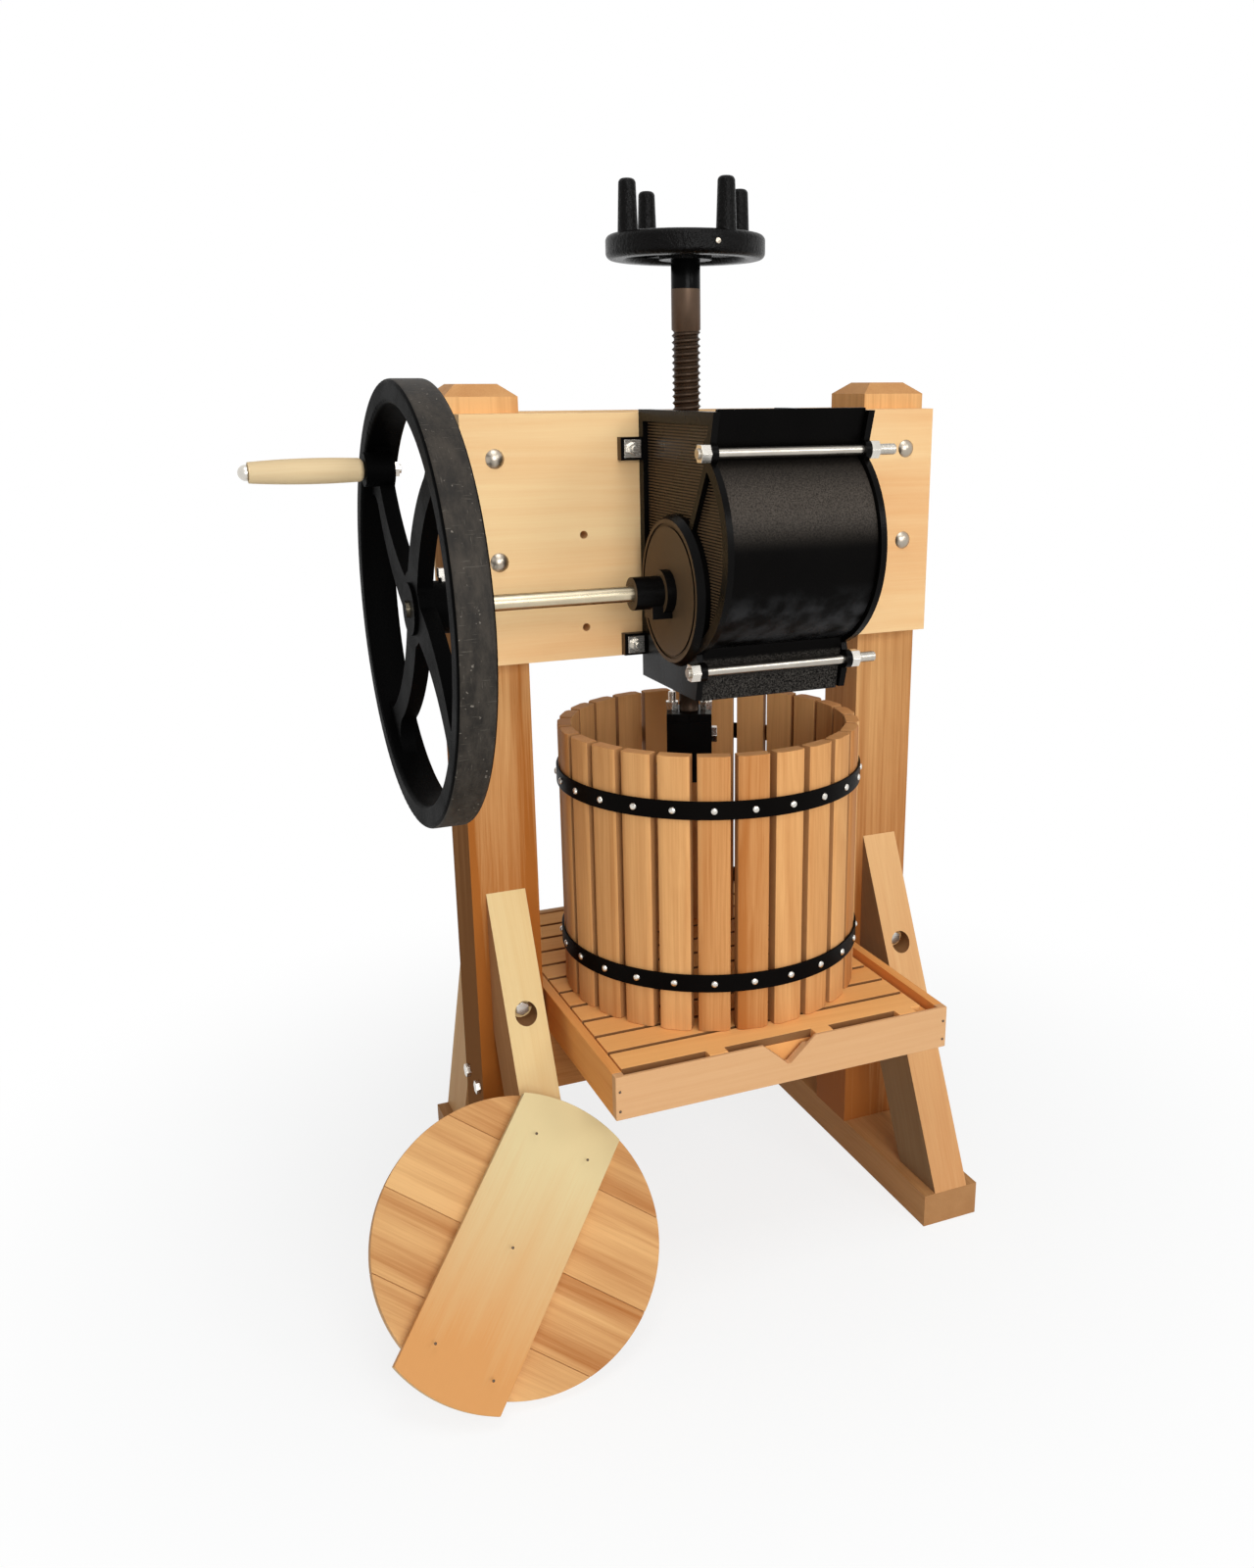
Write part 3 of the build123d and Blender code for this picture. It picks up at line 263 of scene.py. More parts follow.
world = bpy.data.worlds.new("studio")
world.use_nodes = True
bpy.context.scene.world = world
backdrop = world.node_tree.nodes["Background"]
backdrop.inputs["Color"].default_value = WHITE
strength = shown(Graph(world.node_tree)) * (1 - AMBIENT) + AMBIENT
world.node_tree.links.new(strength.socket, backdrop.inputs["Strength"])
print("stage: floor", FLOOR_SIZE, "m wide, surroundings at", AMBIENT, "of full light")

# %% [markdown]
# ## Lamps
# Small lamps give hard shadows and large ones soft shadows. A broad lamp behind the camera does most of the work, a
# smaller one on the right gives the light its direction, and one overhead lifts the tray and the tops of the timbers.
# A picture of a sky could light the press too, but lamps can be moved one at a time.

# %% Lamps
PRESS_MIDDLE = Vector((0, 0, 0.75))
lamps = (
    ("key_lamp", (1.6, -3.0, 2.3), 0.8, 15),
    ("front_lamp", (-0.35, -3.4, 1.7), 1.6, 56),
    ("top_lamp", (-0.2, -1.2, 3.4), 1.5, 24),
)
for name, spot, size, power in lamps:
    light = bpy.data.lights.new(name, "AREA")
    light.size = size
    light.energy = power
    holder = bpy.data.objects.new(name, light)
    holder.location = spot
    holder.rotation_euler = (PRESS_MIDDLE - Vector(spot)).to_track_quat("-Z", "Y").to_euler()
    bpy.context.scene.collection.objects.link(holder)
print("lamps:", len(lamps), "square lamps,", sum(power for *_, power in lamps), "W in all")

# %% [markdown]
# ## Timber
# Boards are slices of a trunk, so their figure is drawn the way it grows: uneven rings round a pith that lies beside
# the board and leans a little, stretched noise for the fibre, and broad patches where the colour drifts. A picture of
# wood would be quicker, but it would repeat and would stop at the edges. Every solid carries a `tone` of its own,
# which shifts both its colour and its figure, so no two boards match.

# %% Where a board lies in its trunk
ALONG = {"x": Vector((1, 0, 0)), "y": Vector((0, 1, 0)), "z": Vector((0, 0, 1))}
PITH_OFFSETS = ((0.0, 1.37, 3.0), (0.05, 0.61, 0.13), (0.03, 0.37, 0.09))
TONE_SHIFT = (9.0, 0.16, 0.11)
PITH_LEAN = 0.05
WANDER = (2.2, 11, 11)
WANDER_WIDE = 0.045
WANDER_THICK = 0.03


def direction_of(along):
    """A unit direction from an axis letter or a vector."""
    return ALONG[along] if isinstance(along, str) else along.normalized()


def place_in_trunk(finish, along, seed, tone):
    """Object coordinates with X along the grain, moved to this board's own place beside the pith."""
    turn = direction_of(along).rotation_difference(ALONG["x"]).to_euler()
    offset = [low + seed * step % span for low, step, span in PITH_OFFSETS]
    sockets = {"Vector": finish.place(), "Location": offset, "Rotation": tuple(turn)}
    place = finish.add("ShaderNodeMapping", None, sockets)
    own = finish.add("ShaderNodeCombineXYZ", None, {axis: tone * far for axis, far in zip("XYZ", TONE_SHIFT)})
    return finish.add("ShaderNodeVectorMath", {"operation": "ADD"}, {0: place, 1: own})


def growth_rings(finish, here, spacing):
    """Uneven rings round a pith that leans and wanders."""
    run, across, depth = [finish.add("ShaderNodeSeparateXYZ", None, {"Vector": here}, out=axis) for axis in "XYZ"]
    wander = finish.drawn(here, WANDER) - 0.5
    wide = across + wander * WANDER_WIDE + run * PITH_LEAN
    thick = depth + wander * WANDER_THICK
    radius = (wide * wide + thick * thick).math("SQRT")
    sockets = {"W": radius / spacing, "Scale": 1.0, "Detail": 2.5, "Roughness": 0.65}
    return finish.add("ShaderNodeTexNoise", {"noise_dimensions": "1D"}, sockets, out="Fac")


print("trunk: the pith leans", PITH_LEAN, "m for each metre of board")

# %% Timber finish
STRAND = (9, 480, 480)
PORES = (40, 1700, 1700)
PATCH = (1.5, 13, 13)
STREAK = (0.9, 34, 34)
PORE_LIMITS = (0.66, 0.76)
STREAK_LIMITS = (0.5, 0.72)
PORE_SHADE = 0.1
TIMBER_ROUGHNESS = 0.52
TIMBER_RELIEF = 0.0005


def timber(
    name, along, pale, deep, seed, rings=0.5, fibre=0.5, patches=0.7, spacing=0.009, spread=0.0, level=0.45,
    streaks=0.0, drift=(0.0, 0.0), shine=0.05,
):
    """A wood finish with its grain along a direction.

    rings, fibre, patches and streaks say how strongly each shows, spacing how wide the rings are, spread how much a
    solid's tone counts, level how deep the colour lies, and drift from where and how fast it changes along the grain.
    """
    finish = Finish(name, specular_ior_level=shine)
    tone = finish.add("ShaderNodeAttribute", {"attribute_name": "tone"}, out="Fac")
    here = place_in_trunk(finish, along, seed, tone)
    ring = growth_rings(finish, here, spacing)
    strand = finish.drawn(here, STRAND, 3.0, 0.6) - 0.5
    pores = finish.drawn(here, PORES, 1.0).between(*PORE_LIMITS)
    patch = finish.drawn(here, PATCH, 3.0) - 0.5
    dark = finish.drawn(here, STREAK, 3.0, 0.6).between(*STREAK_LIMITS)
    sockets = {0: finish.place(), 1: tuple(direction_of(along))}
    height = finish.add("ShaderNodeVectorMath", {"operation": "DOT_PRODUCT"}, sockets, out="Value")
    figure = (ring - 0.5) * rings + strand * fibre + patch * patches + pores * PORE_SHADE + dark * streaks
    amount = figure + tone * spread + level + (height - drift[0]) * drift[1]
    amount = amount.math("MINIMUM", 1.0).math("MAXIMUM", 0.0)
    finish.feed("Base Color", finish.mix(amount, paint(*pale), paint(*deep)))
    finish.feed("Roughness", TIMBER_ROUGHNESS + strand * 0.2)
    finish.bump(ring * 0.3 + strand * 0.8 - pores * 0.5, TIMBER_RELIEF, 0.3)
    return finish.material


print("timber: fibre and pores", STRAND[1], "and", PORES[1], "to the metre")

# %% Sawn ends
SPECK = 900.0
END_CLOUD = 30.0
END_RELIEF = 0.0004


def end_grain(name, pale, deep):
    """A sawn end: fine pores and cloudy colour."""
    finish = Finish(name, specular_ior_level=0.2, roughness=0.65)
    here = finish.place()
    speck = finish.noise(here, SPECK)
    cloud = finish.noise(here, END_CLOUD, 3.0)
    finish.feed("Base Color", finish.mix(speck * 0.5 + cloud * 0.5, paint(*pale), paint(*deep)))
    finish.bump(speck, END_RELIEF, 0.3)
    return finish.material


print("sawn ends:", SPECK, "pores to the metre")

# %% [markdown]
# ## Woods
# The press is made of several woods. A single brown would be quicker, but here each wood has a pale and a deep colour
# that the figure moves between. The header, the left brace and the crank's grip are pale, the posts and feet a redder
# hardwood, and the tray, the tub and the board honey brown. Four darker pairs are painted shade: in gaps and
# counterbores, and on the left sides of a few timbers.

# %% Woods
MAPLE = ((0.84, 0.68, 0.42), (0.72, 0.50, 0.27))
HEADER = ((0.88, 0.63, 0.33), (0.78, 0.43, 0.19))
PINE = ((0.83, 0.65, 0.34), (0.74, 0.49, 0.215))
AMBER = ((0.80, 0.51, 0.24), (0.60, 0.28, 0.11))
CLEAT = ((0.74, 0.60, 0.325), (0.69, 0.33, 0.115))
HARDWOOD = ((0.60, 0.29, 0.10), (0.25, 0.075, 0.016))
POST = ((0.80, 0.46, 0.19), (0.35, 0.115, 0.025))
LEFT_POST = ((0.82, 0.48, 0.205), (0.39, 0.125, 0.022))
# Painted shade: darker woods for the left sides of a few timbers, which face away from the lamps.
LEFT_SIDE_SHADE = ((0.54, 0.26, 0.11), (0.29, 0.125, 0.047))
LEFT_SIDE_GREY_SHADE = ((0.34, 0.22, 0.12), (0.24, 0.14, 0.07))
FOOT = ((0.55, 0.295, 0.12), (0.28, 0.11, 0.033))
TRAY = ((0.71, 0.42, 0.215), (0.60, 0.30, 0.12))
TRAY_SIDE = ((0.92, 0.45, 0.14), (0.72, 0.28, 0.075))
SLAT = ((0.95, 0.50, 0.18), (0.78, 0.34, 0.095))
STAVE = ((0.85, 0.47, 0.19), (0.44, 0.155, 0.038))
BOARD = ((0.81, 0.48, 0.205), (0.40, 0.135, 0.033))
# Painted shade for counterbores and gaps: between slats, and on the staves' sides.
SHADE = ((0.30, 0.14, 0.05), (0.18, 0.08, 0.028))
STAVE_GAP_SHADE = ((0.52, 0.26, 0.10), (0.36, 0.16, 0.055))
print("woods: the header runs from", HEADER[0], "to", HEADER[1])

# %% [markdown]
# ## Easing the edges
# No timber or casting has the knife edge of a drawing. Edges could be rounded in the drawing too, but there every
# rounding would be one more size to keep. Here each node is copied, its loose triangles are merged back into faces,
# and a narrow bevel runs round every corner. Weighted normals keep the flats flat beside it.


# %% Plain pieces
def settled(piece):
    """Turns the modifiers' result into the piece's own plain mesh."""
    bpy.context.view_layer.update()
    graph = bpy.context.evaluated_depsgraph_get()
    mesh = bpy.data.meshes.new_from_object(piece.evaluated_get(graph), depsgraph=graph)
    mesh.name = piece.name
    piece.modifiers.clear()
    piece.data = mesh
    return piece


def new_piece(name, shape, materials):
    """An object at the origin from a bmesh."""
    mesh = bpy.data.meshes.new(name)
    shape.to_mesh(mesh)
    shape.free()
    for material in materials:
        mesh.materials.append(material)
    piece = bpy.data.objects.new(name, mesh)
    bpy.context.scene.collection.objects.link(piece)
    return piece


def stand_for(piece, node):
    """The piece takes the node's place and body, and the node is hidden."""
    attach(piece, nodes[node]["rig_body"])
    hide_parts(node)


print("plain pieces: ready to stand for", len(slot_of), "nodes")

# %% Solids of a node
SAME_POINT = 2e-6
SAME_FLAT = radians(0.6)


def merged_copy(node):
    """A node's mesh as a bmesh with its doubles merged and its flats joined."""
    shape = bmesh.new()
    shape.from_mesh(nodes[node].data)
    bmesh.ops.remove_doubles(shape, verts=shape.verts, dist=SAME_POINT)
    bmesh.ops.dissolve_limit(shape, angle_limit=SAME_FLAT, verts=shape.verts, edges=shape.edges)
    return shape


def solids_of(shape):
    """The separate solids of a bmesh, each as a list of faces."""
    waiting = set(shape.faces)
    solids = []
    while waiting:
        solid = []
        reached = [waiting.pop()]
        while reached:
            face = reached.pop()
            solid.append(face)
            for line in face.edges:
                for other in line.link_faces:
                    if other in waiting:
                        waiting.discard(other)
                        reached.append(other)
        solids.append(solid)
    return solids


print("solids: points closer than", SAME_POINT, "m are merged")

# %% Eased copies
EASED_ANGLE = radians(28)
EASED_STEPS = 2
FLAT_WEIGHT = 100
CELLS_PER_METRE = 500
CELL_SHIFT = 0.21
SCATTER_WAVES = Vector((12.5, 31.25, 7.75))
SCATTER_GAIN = 437.5


def scatter(place):
    """A value from -0.5 to 0.5 that jumps about but depends only on the place, to 2 mm."""
    cell = Vector([round(value * CELLS_PER_METRE + CELL_SHIFT) for value in place])
    return sin(cell.dot(SCATTER_WAVES)) * SCATTER_GAIN % 1.0 - 0.5


def eased(node, radius, *materials, choose=None, tone=scatter):
    """A copy of a node with rounded corners; choose picks each face's material, tone each solid's shade."""
    shape = merged_copy(node)
    shade = shape.verts.layers.float.new("tone")
    for solid in solids_of(shape):
        centre = sum((face.calc_center_median() for face in solid), Vector()) / len(solid)
        for face in solid:
            face.smooth = True
            if choose:
                face.material_index = choose(face)
            for corner in face.verts:
                corner[shade] = tone(centre)
    piece = new_piece(node + "_eased", shape, materials)
    bevel = piece.modifiers.new("eased corners", "BEVEL")
    bevel.width = radius * MM
    bevel.segments = EASED_STEPS
    bevel.angle_limit = EASED_ANGLE
    bevel.limit_method = "ANGLE"
    weigh = piece.modifiers.new("flat flats", "WEIGHTED_NORMAL")
    weigh.keep_sharp = False
    weigh.weight = FLAT_WEIGHT
    stand_for(settled(piece), node)


print("eased copies: corners in", EASED_STEPS, "steps")

# %% [markdown]
# ## The timbers
# Each timber has its grain along its length, a wood, a seed that picks its place in the trunk, and whatever makes its
# figure its own. One finish for all would be shorter, but a row of boards from one plank looks printed. The slanted
# braces and the leaning board take their grain direction from the same slopes that the drawing uses.

# %% Table of timbers
BRACE_RISE = 481.6
BRACE_RUN = 234.75
BOARD_LEAN = radians(37.76)
CLEAT_TURN = radians(51.8)
BOARD_MIDDLE = Vector((-363.8, -293.0, 158.45))
front_slope = Vector((0, BRACE_RUN, BRACE_RISE))
rear_slope = Vector((0, -BRACE_RUN, BRACE_RISE))
board_up = Vector((0, sin(BOARD_LEAN), cos(BOARD_LEAN)))
board_out = Vector((0, -cos(BOARD_LEAN), sin(BOARD_LEAN)))
board_along = cos(CLEAT_TURN) * ALONG["x"] + sin(CLEAT_TURN) * board_up
board_across = -sin(CLEAT_TURN) * ALONG["x"] + cos(CLEAT_TURN) * board_up

# The header's drift paints shade and light: deeper towards the right end, paler towards the left, evening out the
# lamps.
header_figure = dict(rings=0.6, fibre=0.4, patches=1.7, spacing=0.018, drift=(0.0, 0.5))
# Both posts run paler towards the top and deeper towards the foot: partly the wood's own colour, partly painted shade
# low down.
left_post_figure = dict(rings=0.5, streaks=0.4, level=0.53, drift=(0.75, -1.4))
right_post_figure = dict(rings=0.5, streaks=0.4, level=0.5, drift=(0.75, -0.75))
right_brace_figure = dict(rings=0.4, drift=(0.24, -0.9))
cleat_drift = (BOARD_MIDDLE.dot(board_along) * MM, -4.0)
cleat_figure = dict(rings=0.2, fibre=0.3, patches=0.8, spacing=0.02, drift=cleat_drift)
board_figure = dict(rings=0.7, patches=1.7, spread=0.7, spacing=0.02, streaks=0.3, level=0.4)
stave_figure = dict(rings=0.45, patches=0.5, spread=0.8, streaks=0.3, level=0.4)

timbers = {
    "front_header": ("x", HEADER, 1.0, header_figure),
    "rear_header": ("x", HEADER, 2.2, header_figure),
    "left_post": ("z", LEFT_POST, 3.1, left_post_figure),
    "right_post": ("z", POST, 4.7, right_post_figure),
    "left_foot": ("y", FOOT, 5.3, dict(level=0.35)),
    "right_foot": ("y", FOOT, 6.1, dict(level=0.35)),
    "left_front_brace": (front_slope, PINE, 7.4, dict(rings=0.4)),
    "right_front_brace": (front_slope, AMBER, 8.9, right_brace_figure),
    "left_rear_brace": (rear_slope, AMBER, 9.2, dict(rings=0.4)),
    "right_rear_brace": (rear_slope, AMBER, 10.6, dict(rings=0.4)),
    "front_rail": ("x", HARDWOOD, 11.5, {}),
    "rear_rail": ("x", HARDWOOD, 12.8, {}),
    "tray_front_wall": ("x", TRAY, 13.3, dict(rings=0.4, patches=0.4, level=0.3)),
    "tray_rear_wall": ("x", TRAY, 14.1, {}),
    "tray_left_wall": ("y", TRAY_SIDE, 15.7, dict(streaks=0.3)),
    "tray_right_wall": ("y", TRAY_SIDE, 16.2, dict(streaks=0.3)),
    "tray_floor": ("x", TRAY, 17.9, {}),
    "rack_runners": ("y", SLAT, 18.4, {}),
    "rack_slats": ("x", SLAT, 22.5, dict(spread=0.5)),
    "disc_cleat": (board_along, CLEAT, 19.6, cleat_figure),
    "disc_boards": (board_across, BOARD, 23.9, board_figure),
    "tub_staves": ("z", STAVE, 24.2, stave_figure),
    "grinding_drum": ("x", HARDWOOD, 20.3, {}),
    "crank_grip": ("x", MAPLE, 21.7, dict(rings=0.3, patches=0.3)),
}
# Painted shade on the left sides of these timbers.
shaded_side_woods = {"left_post": LEFT_SIDE_SHADE, "left_front_brace": LEFT_SIDE_SHADE, "right_front_brace": LEFT_SIDE_GREY_SHADE}
print("table:", len(timbers), "timbers,", len(shaded_side_woods), "with a darker left side")

# %% [markdown]
# ## Faces and shades
# A sawn end shows pores instead of lines. Shade in a counterbore, in the gaps between slats and staves, and on the
# left sides of a few timbers is painted into those faces. Painting a mask would do, but each face already says where
# it lies and which way it points. The staves, slats and disc boards are nodes of many solids, so each solid gets its
# own tone.

# %% Which finish a face takes
LONG_FACE, SAWN_END, IN_SHADE, SHADED_SIDE = range(4)
SQUARE_ON = 0.9
END_COSINE = 0.75
STAVE_SIDE = 0.8
BORE = Vector((0.2925, 0, 0.382))
BORE_RADIUS = 0.0155
BORE_FACE_AREA = 0.0005
SLAT_FRONT_AREA = 0.0006
TUB_CENTRE = (0.0, -0.0657, 0.0)


def kind_of_face(node, face, lengthwise):
    """Which of a timber's four finishes a face takes."""
    spot = face.calc_center_median()
    # Painted shade inside a counterbore.
    if node.endswith("front_brace"):
        across = Vector((abs(spot.x), 0, spot.z)) - BORE
        if across.length < BORE_RADIUS and face.calc_area() < BORE_FACE_AREA:
            return IN_SHADE
    # Painted shade in the gap in front of the slats.
    if node == "rack_slats" and face.normal.y < -SQUARE_ON and face.calc_area() > SLAT_FRONT_AREA:
        return IN_SHADE
    # Painted shade on a left side.
    if node in shaded_side_woods and face.normal.x < -SQUARE_ON:
        return SHADED_SIDE
    # Painted shade on the staves' sides, in the gaps between them.
    if node == "tub_staves":
        out = (spot - Vector(TUB_CENTRE)) * Vector((1, 1, 0))
        if abs(face.normal.cross(out.normalized()).z) > STAVE_SIDE:
            return IN_SHADE
    return SAWN_END if abs(face.normal.dot(lengthwise)) > END_COSINE else LONG_FACE


print("faces: four finishes, the counterbores", round(2 * BORE_RADIUS / MM), "mm wide")

# %% Shades of single boards
STAVES = 25
FIRST_STAVE = radians(3.0)
FIRST_TONED_STAVE = 12
STAVE_TONES = (-0.05, 0.0, 0.05, 0.0, -0.2, 0.22, 0.45, 0.0, 0.08, 0.02, 0.38)
REAR_STAVE_TONE = -0.4
REAR_STAVE_SPREAD = 0.3
FRONT_SLAT = -0.26
FRONT_SLAT_TONE = -0.7
BOARD_TONES = (-0.1, 0.26, -0.2, 0.0)
BOARD_EDGES = (-0.106, -0.010, 0.102)


def stave_tone(centre):
    """The staves in front each in a shade of its own, the others paler and by chance."""
    out = centre - Vector(TUB_CENTRE)
    number = round((atan2(out.y, out.x) - FIRST_STAVE) / (2 * pi) * STAVES) % STAVES
    place = number - FIRST_TONED_STAVE
    if 0 <= place < len(STAVE_TONES):
        return STAVE_TONES[place]
    return scatter(centre) * REAR_STAVE_SPREAD + REAR_STAVE_TONE


def slat_tone(centre):
    """The front slat pale, the others by chance."""
    return FRONT_SLAT_TONE if centre.y < FRONT_SLAT else scatter(centre)


def board_tone(centre):
    """Each board of the disc in its own shade, from one edge to the other."""
    reach = (centre - BOARD_MIDDLE * MM).dot(board_along)
    return BOARD_TONES[sum(reach > edge for edge in BOARD_EDGES)]


tones = {"disc_boards": board_tone, "tub_staves": stave_tone, "rack_slats": slat_tone}
print("shades:", len(STAVE_TONES), "staves and", len(BOARD_TONES), "boards by hand")

# %% Ease the timbers
TIMBER_EDGE = 1.0
woods = dict.fromkeys(wood for _, wood, _, _ in timbers.values())
ends = {wood: end_grain("end grain %d" % count, *wood) for count, wood in enumerate(woods)}
shadow = end_grain("shaded timber", *SHADE)
stave_gap_shade = end_grain("stave sides", *STAVE_GAP_SHADE)
for node, (along, wood, seed, figure) in timbers.items():
    title = node.replace("_", " ")
    lengthwise = direction_of(along)
    shade = stave_gap_shade if node == "tub_staves" else shadow
    finishes = [timber(title, along, *wood, seed, **figure), ends[wood], shade]
    # A darker copy of the wood paints shade on the left side.
    if node in shaded_side_woods:
        finishes.append(timber(title + " side", along, *shaded_side_woods[node], seed, shine=0.0, **figure))
    eased(
        node,
        TIMBER_EDGE,
        *finishes,
        choose=lambda face: kind_of_face(node, face, lengthwise),
        tone=tones.get(node, scatter),
    )
print("timbers:", len(timbers), "eased, in", len(woods), "woods")

# %% [markdown]
# ## Paint on castings
# The grinder, the wheels and the press foot are sand castings under black paint. Perfect black would look cut out, so
# fine sand stands up through the paint and its gloss changes in clouds. On the grinder's cover, paler bands are
# painted highlight and painted reflection. The flywheel's tread takes the knocks and is scuffed grey, with scratches
# and a few bare nicks. Painted pictures could show all this, but layers of noise fit any casting without being
# unwrapped.

# %% Paint finishes
CLOUD = 22.0
SHEEN_CLOUD = 34.0
CLOUD_BRIGHT = 1.8
CLOUD_GLOSS = 0.25


def enamel(name, colour, roughness, grain, depth, shine, sheens=()):
    """Black paint over rough casting; each band of painted sheen has a colour, two spans of height, a pattern and its
    limits.
    """
    finish = Finish(name, specular_ior_level=shine)
    here = finish.place()
    sand = finish.noise(here, grain, 3.0, 0.6)
    cloud = finish.noise(here, CLOUD, 3.0)
    coat = finish.mix(cloud, paint(*colour), paint(*[c * CLOUD_BRIGHT for c in colour]))
    # Each band mixes a paler colour into the paint: painted highlight and painted reflection.
    for tint, comes, goes, pattern, limits in sheens:
        height = finish.add("ShaderNodeSeparateXYZ", None, {"Vector": here}, out="Z")
        skin = sand if pattern == "sand" else finish.noise(here, SHEEN_CLOUD, 3.0)
        amount = height.between(*comes) * height.between(*goes) * skin.between(*limits)
        coat = finish.mix(amount, coat, paint(*tint))
    finish.feed("Base Color", coat)
    finish.feed("Roughness", roughness + (cloud - 0.5) * CLOUD_GLOSS)
    finish.bump(sand, depth)
    return finish.material


print("paint: its gloss changes in clouds,", CLOUD, "to the metre")

# %% Worn tread
TREAD_DUST = (70, 28, 28)
SCRATCH_ALONG = (40, 520, 520)
SCRATCH_ACROSS = (620, 60, 60)
SCRATCH_SHARE = 0.4
NICK_SCALE = 190.0
TREAD_SAND = 500.0
TREAD_RELIEF = 0.0004
WORN_LOW = paint(0.011, 0.009, 0.007)
WORN_HIGH = paint(0.046, 0.038, 0.030)
SCRATCH = paint(0.15, 0.135, 0.11)
NICK = paint(0.17, 0.15, 0.125)


def worn_tread(name):
    """Scuffed paint: grey dust, fine scratches along and across the rim, and a few bare nicks."""
    finish = Finish(name, specular_ior_level=0.2)
    here = finish.place()
    dust = finish.drawn(here, TREAD_DUST, 5.0, 0.7)
    along = finish.drawn(here, SCRATCH_ALONG).between(0.66, 0.74)
    across = finish.drawn(here, SCRATCH_ACROSS).between(0.68, 0.76)
    nick = finish.noise(here, NICK_SCALE).between(0.70, 0.74)
    worn = finish.mix(dust.between(0.3, 0.75), WORN_LOW, WORN_HIGH)
    worn = finish.mix(along.math("MAXIMUM", across) * SCRATCH_SHARE, worn, SCRATCH)
    finish.feed("Base Color", finish.mix(nick, worn, NICK))
    finish.feed("Roughness", 0.55 + dust * 0.2)
    finish.bump(finish.noise(here, TREAD_SAND, 3.0), TREAD_RELIEF)
    return finish.material


tread_paint = worn_tread("worn tread")
print("tread:", SCRATCH_ALONG[1], "scratches to the metre at most")

# %% Coats of paint
CAST_BLACK = (0.0015, 0.0013, 0.0012)
# Painted highlight high on the cover, and painted reflections as fainter bands lower down.
COVER_PAINTED_SHEEN = (
    ((0.088, 0.074, 0.062), (1.002, 1.05), (1.115, 1.06), "sand", (0.05, 0.85)),
    ((0.022, 0.022, 0.023), (0.965, 0.925), (0.880, 0.900), "cloud", (0.36, 0.66)),
    ((0.070, 0.063, 0.056), (0.872, 0.866), (0.800, 0.810), "sand", (0.35, 0.75)),
)
cast_enamel = enamel("cast grinder enamel", CAST_BLACK, 0.28, 520.0, 0.00016, 0.06)
cover_enamel = enamel("cover enamel", CAST_BLACK, 0.28, 560.0, 0.0003, 0.028, COVER_PAINTED_SHEEN)
rough_enamel = enamel("rough cast enamel", CAST_BLACK, 0.26, 240.0, 0.0016, 0.08)
# Painted reflection: a warm brown for the end plates' bosses and ribs, where gloss would mirror brown surroundings.
plate_painted_reflection = enamel("plate varnish", (0.085, 0.053, 0.028), 0.5, 600.0, 0.0003, 0.1)
wheel_paint = enamel("flywheel paint", (0.001, 0.001, 0.001), 0.5, 420.0, 0.0006, 0.015)
gloss_paint = enamel("gloss screw paint", (0.002, 0.002, 0.002), 0.2, 300.0, 0.0001, 0.05)
hoop_paint = enamel("hoop paint", (0.002, 0.0016, 0.0014), 0.4, 900.0, 0.0002, 0.02)
print("coats: seven, the cover's with", len(COVER_PAINTED_SHEEN), "bands of painted sheen")

# %% [markdown]
# ## Bare metal
# Rods, nuts and the shaft are drawn or turned, which leaves fine lines along or round them. The lines go into both
# roughness and bump, since a mirror would be too clean for a tool. The screw is under oil and takes little shine.

# %% Metal finishes
DRAWN_LINES = (30, 900, 900)
TURNED_LINES = (12, 700, 700)
DULL_CLOUD = 60.0
DULL_SHARE = 0.72
LINE_GLOSS = 0.2
LINE_RELIEF = 0.00008


def steel(name, colour, roughness, lines_along=DRAWN_LINES, bare=1.0):
    """Metal with fine drawn lines, bare or under a film of oil."""
    finish = Finish(name, metallic=bare, specular_ior_level=0.1)
    here = finish.place()
    lines = finish.drawn(here, lines_along)
    dull = finish.noise(here, DULL_CLOUD, 3.0)
    finish.feed("Base Color", finish.mix(dull, paint(*colour), paint(*[c * DULL_SHARE for c in colour])))
    finish.feed("Roughness", roughness + (lines - 0.5) * LINE_GLOSS)
    finish.bump(lines, LINE_RELIEF, 0.4)
    return finish.material


bright_steel = steel("bright steel", (0.80, 0.76, 0.69), 0.26)
shank_steel = steel("bare shank steel", (0.13, 0.083, 0.055), 0.42, bare=0.4)
thread_steel = steel("oiled thread steel", (0.07, 0.045, 0.03), 0.4, bare=0.4)
shaft_steel = steel("turned shaft steel", (0.64, 0.55, 0.39), 0.28, TURNED_LINES)
rod_steel = steel("drawn rod steel", (0.52, 0.48, 0.42), 0.3)
dull_steel = steel("dull bolt steel", (0.50, 0.44, 0.36), 0.34)
nail_steel = steel("nail heads", (0.16, 0.12, 0.09), 0.5)
bush_bronze = steel("oiled bush bronze", (0.07, 0.05, 0.032), 0.4)
print("metal: seven steels and a bronze")

# %% [markdown]
# ## Castings and fittings
# The castings get wider corners than the fittings, because a sand mould can't hold a sharp one. One coat for a whole
# casting would be simpler, but faces can choose by place once more: the bosses of the end plates take a brown painted
# reflection, the flywheel's outer band is worn, and the shaft's left end was painted together with the wheel.

# %% Castings
SIDE_COSINE = 0.5
FLYWHEEL_RIM = 0.246
BOSS_FACE = 0.108
SHAFT_END = -0.30
SHAFT = Vector((0, -0.198, 0.945))


def plate_flat(face):
    """The face of an end plate's round boss."""
    return int(abs(face.normal.x) > SQUARE_ON and abs(face.calc_center_median().x) > BOSS_FACE)


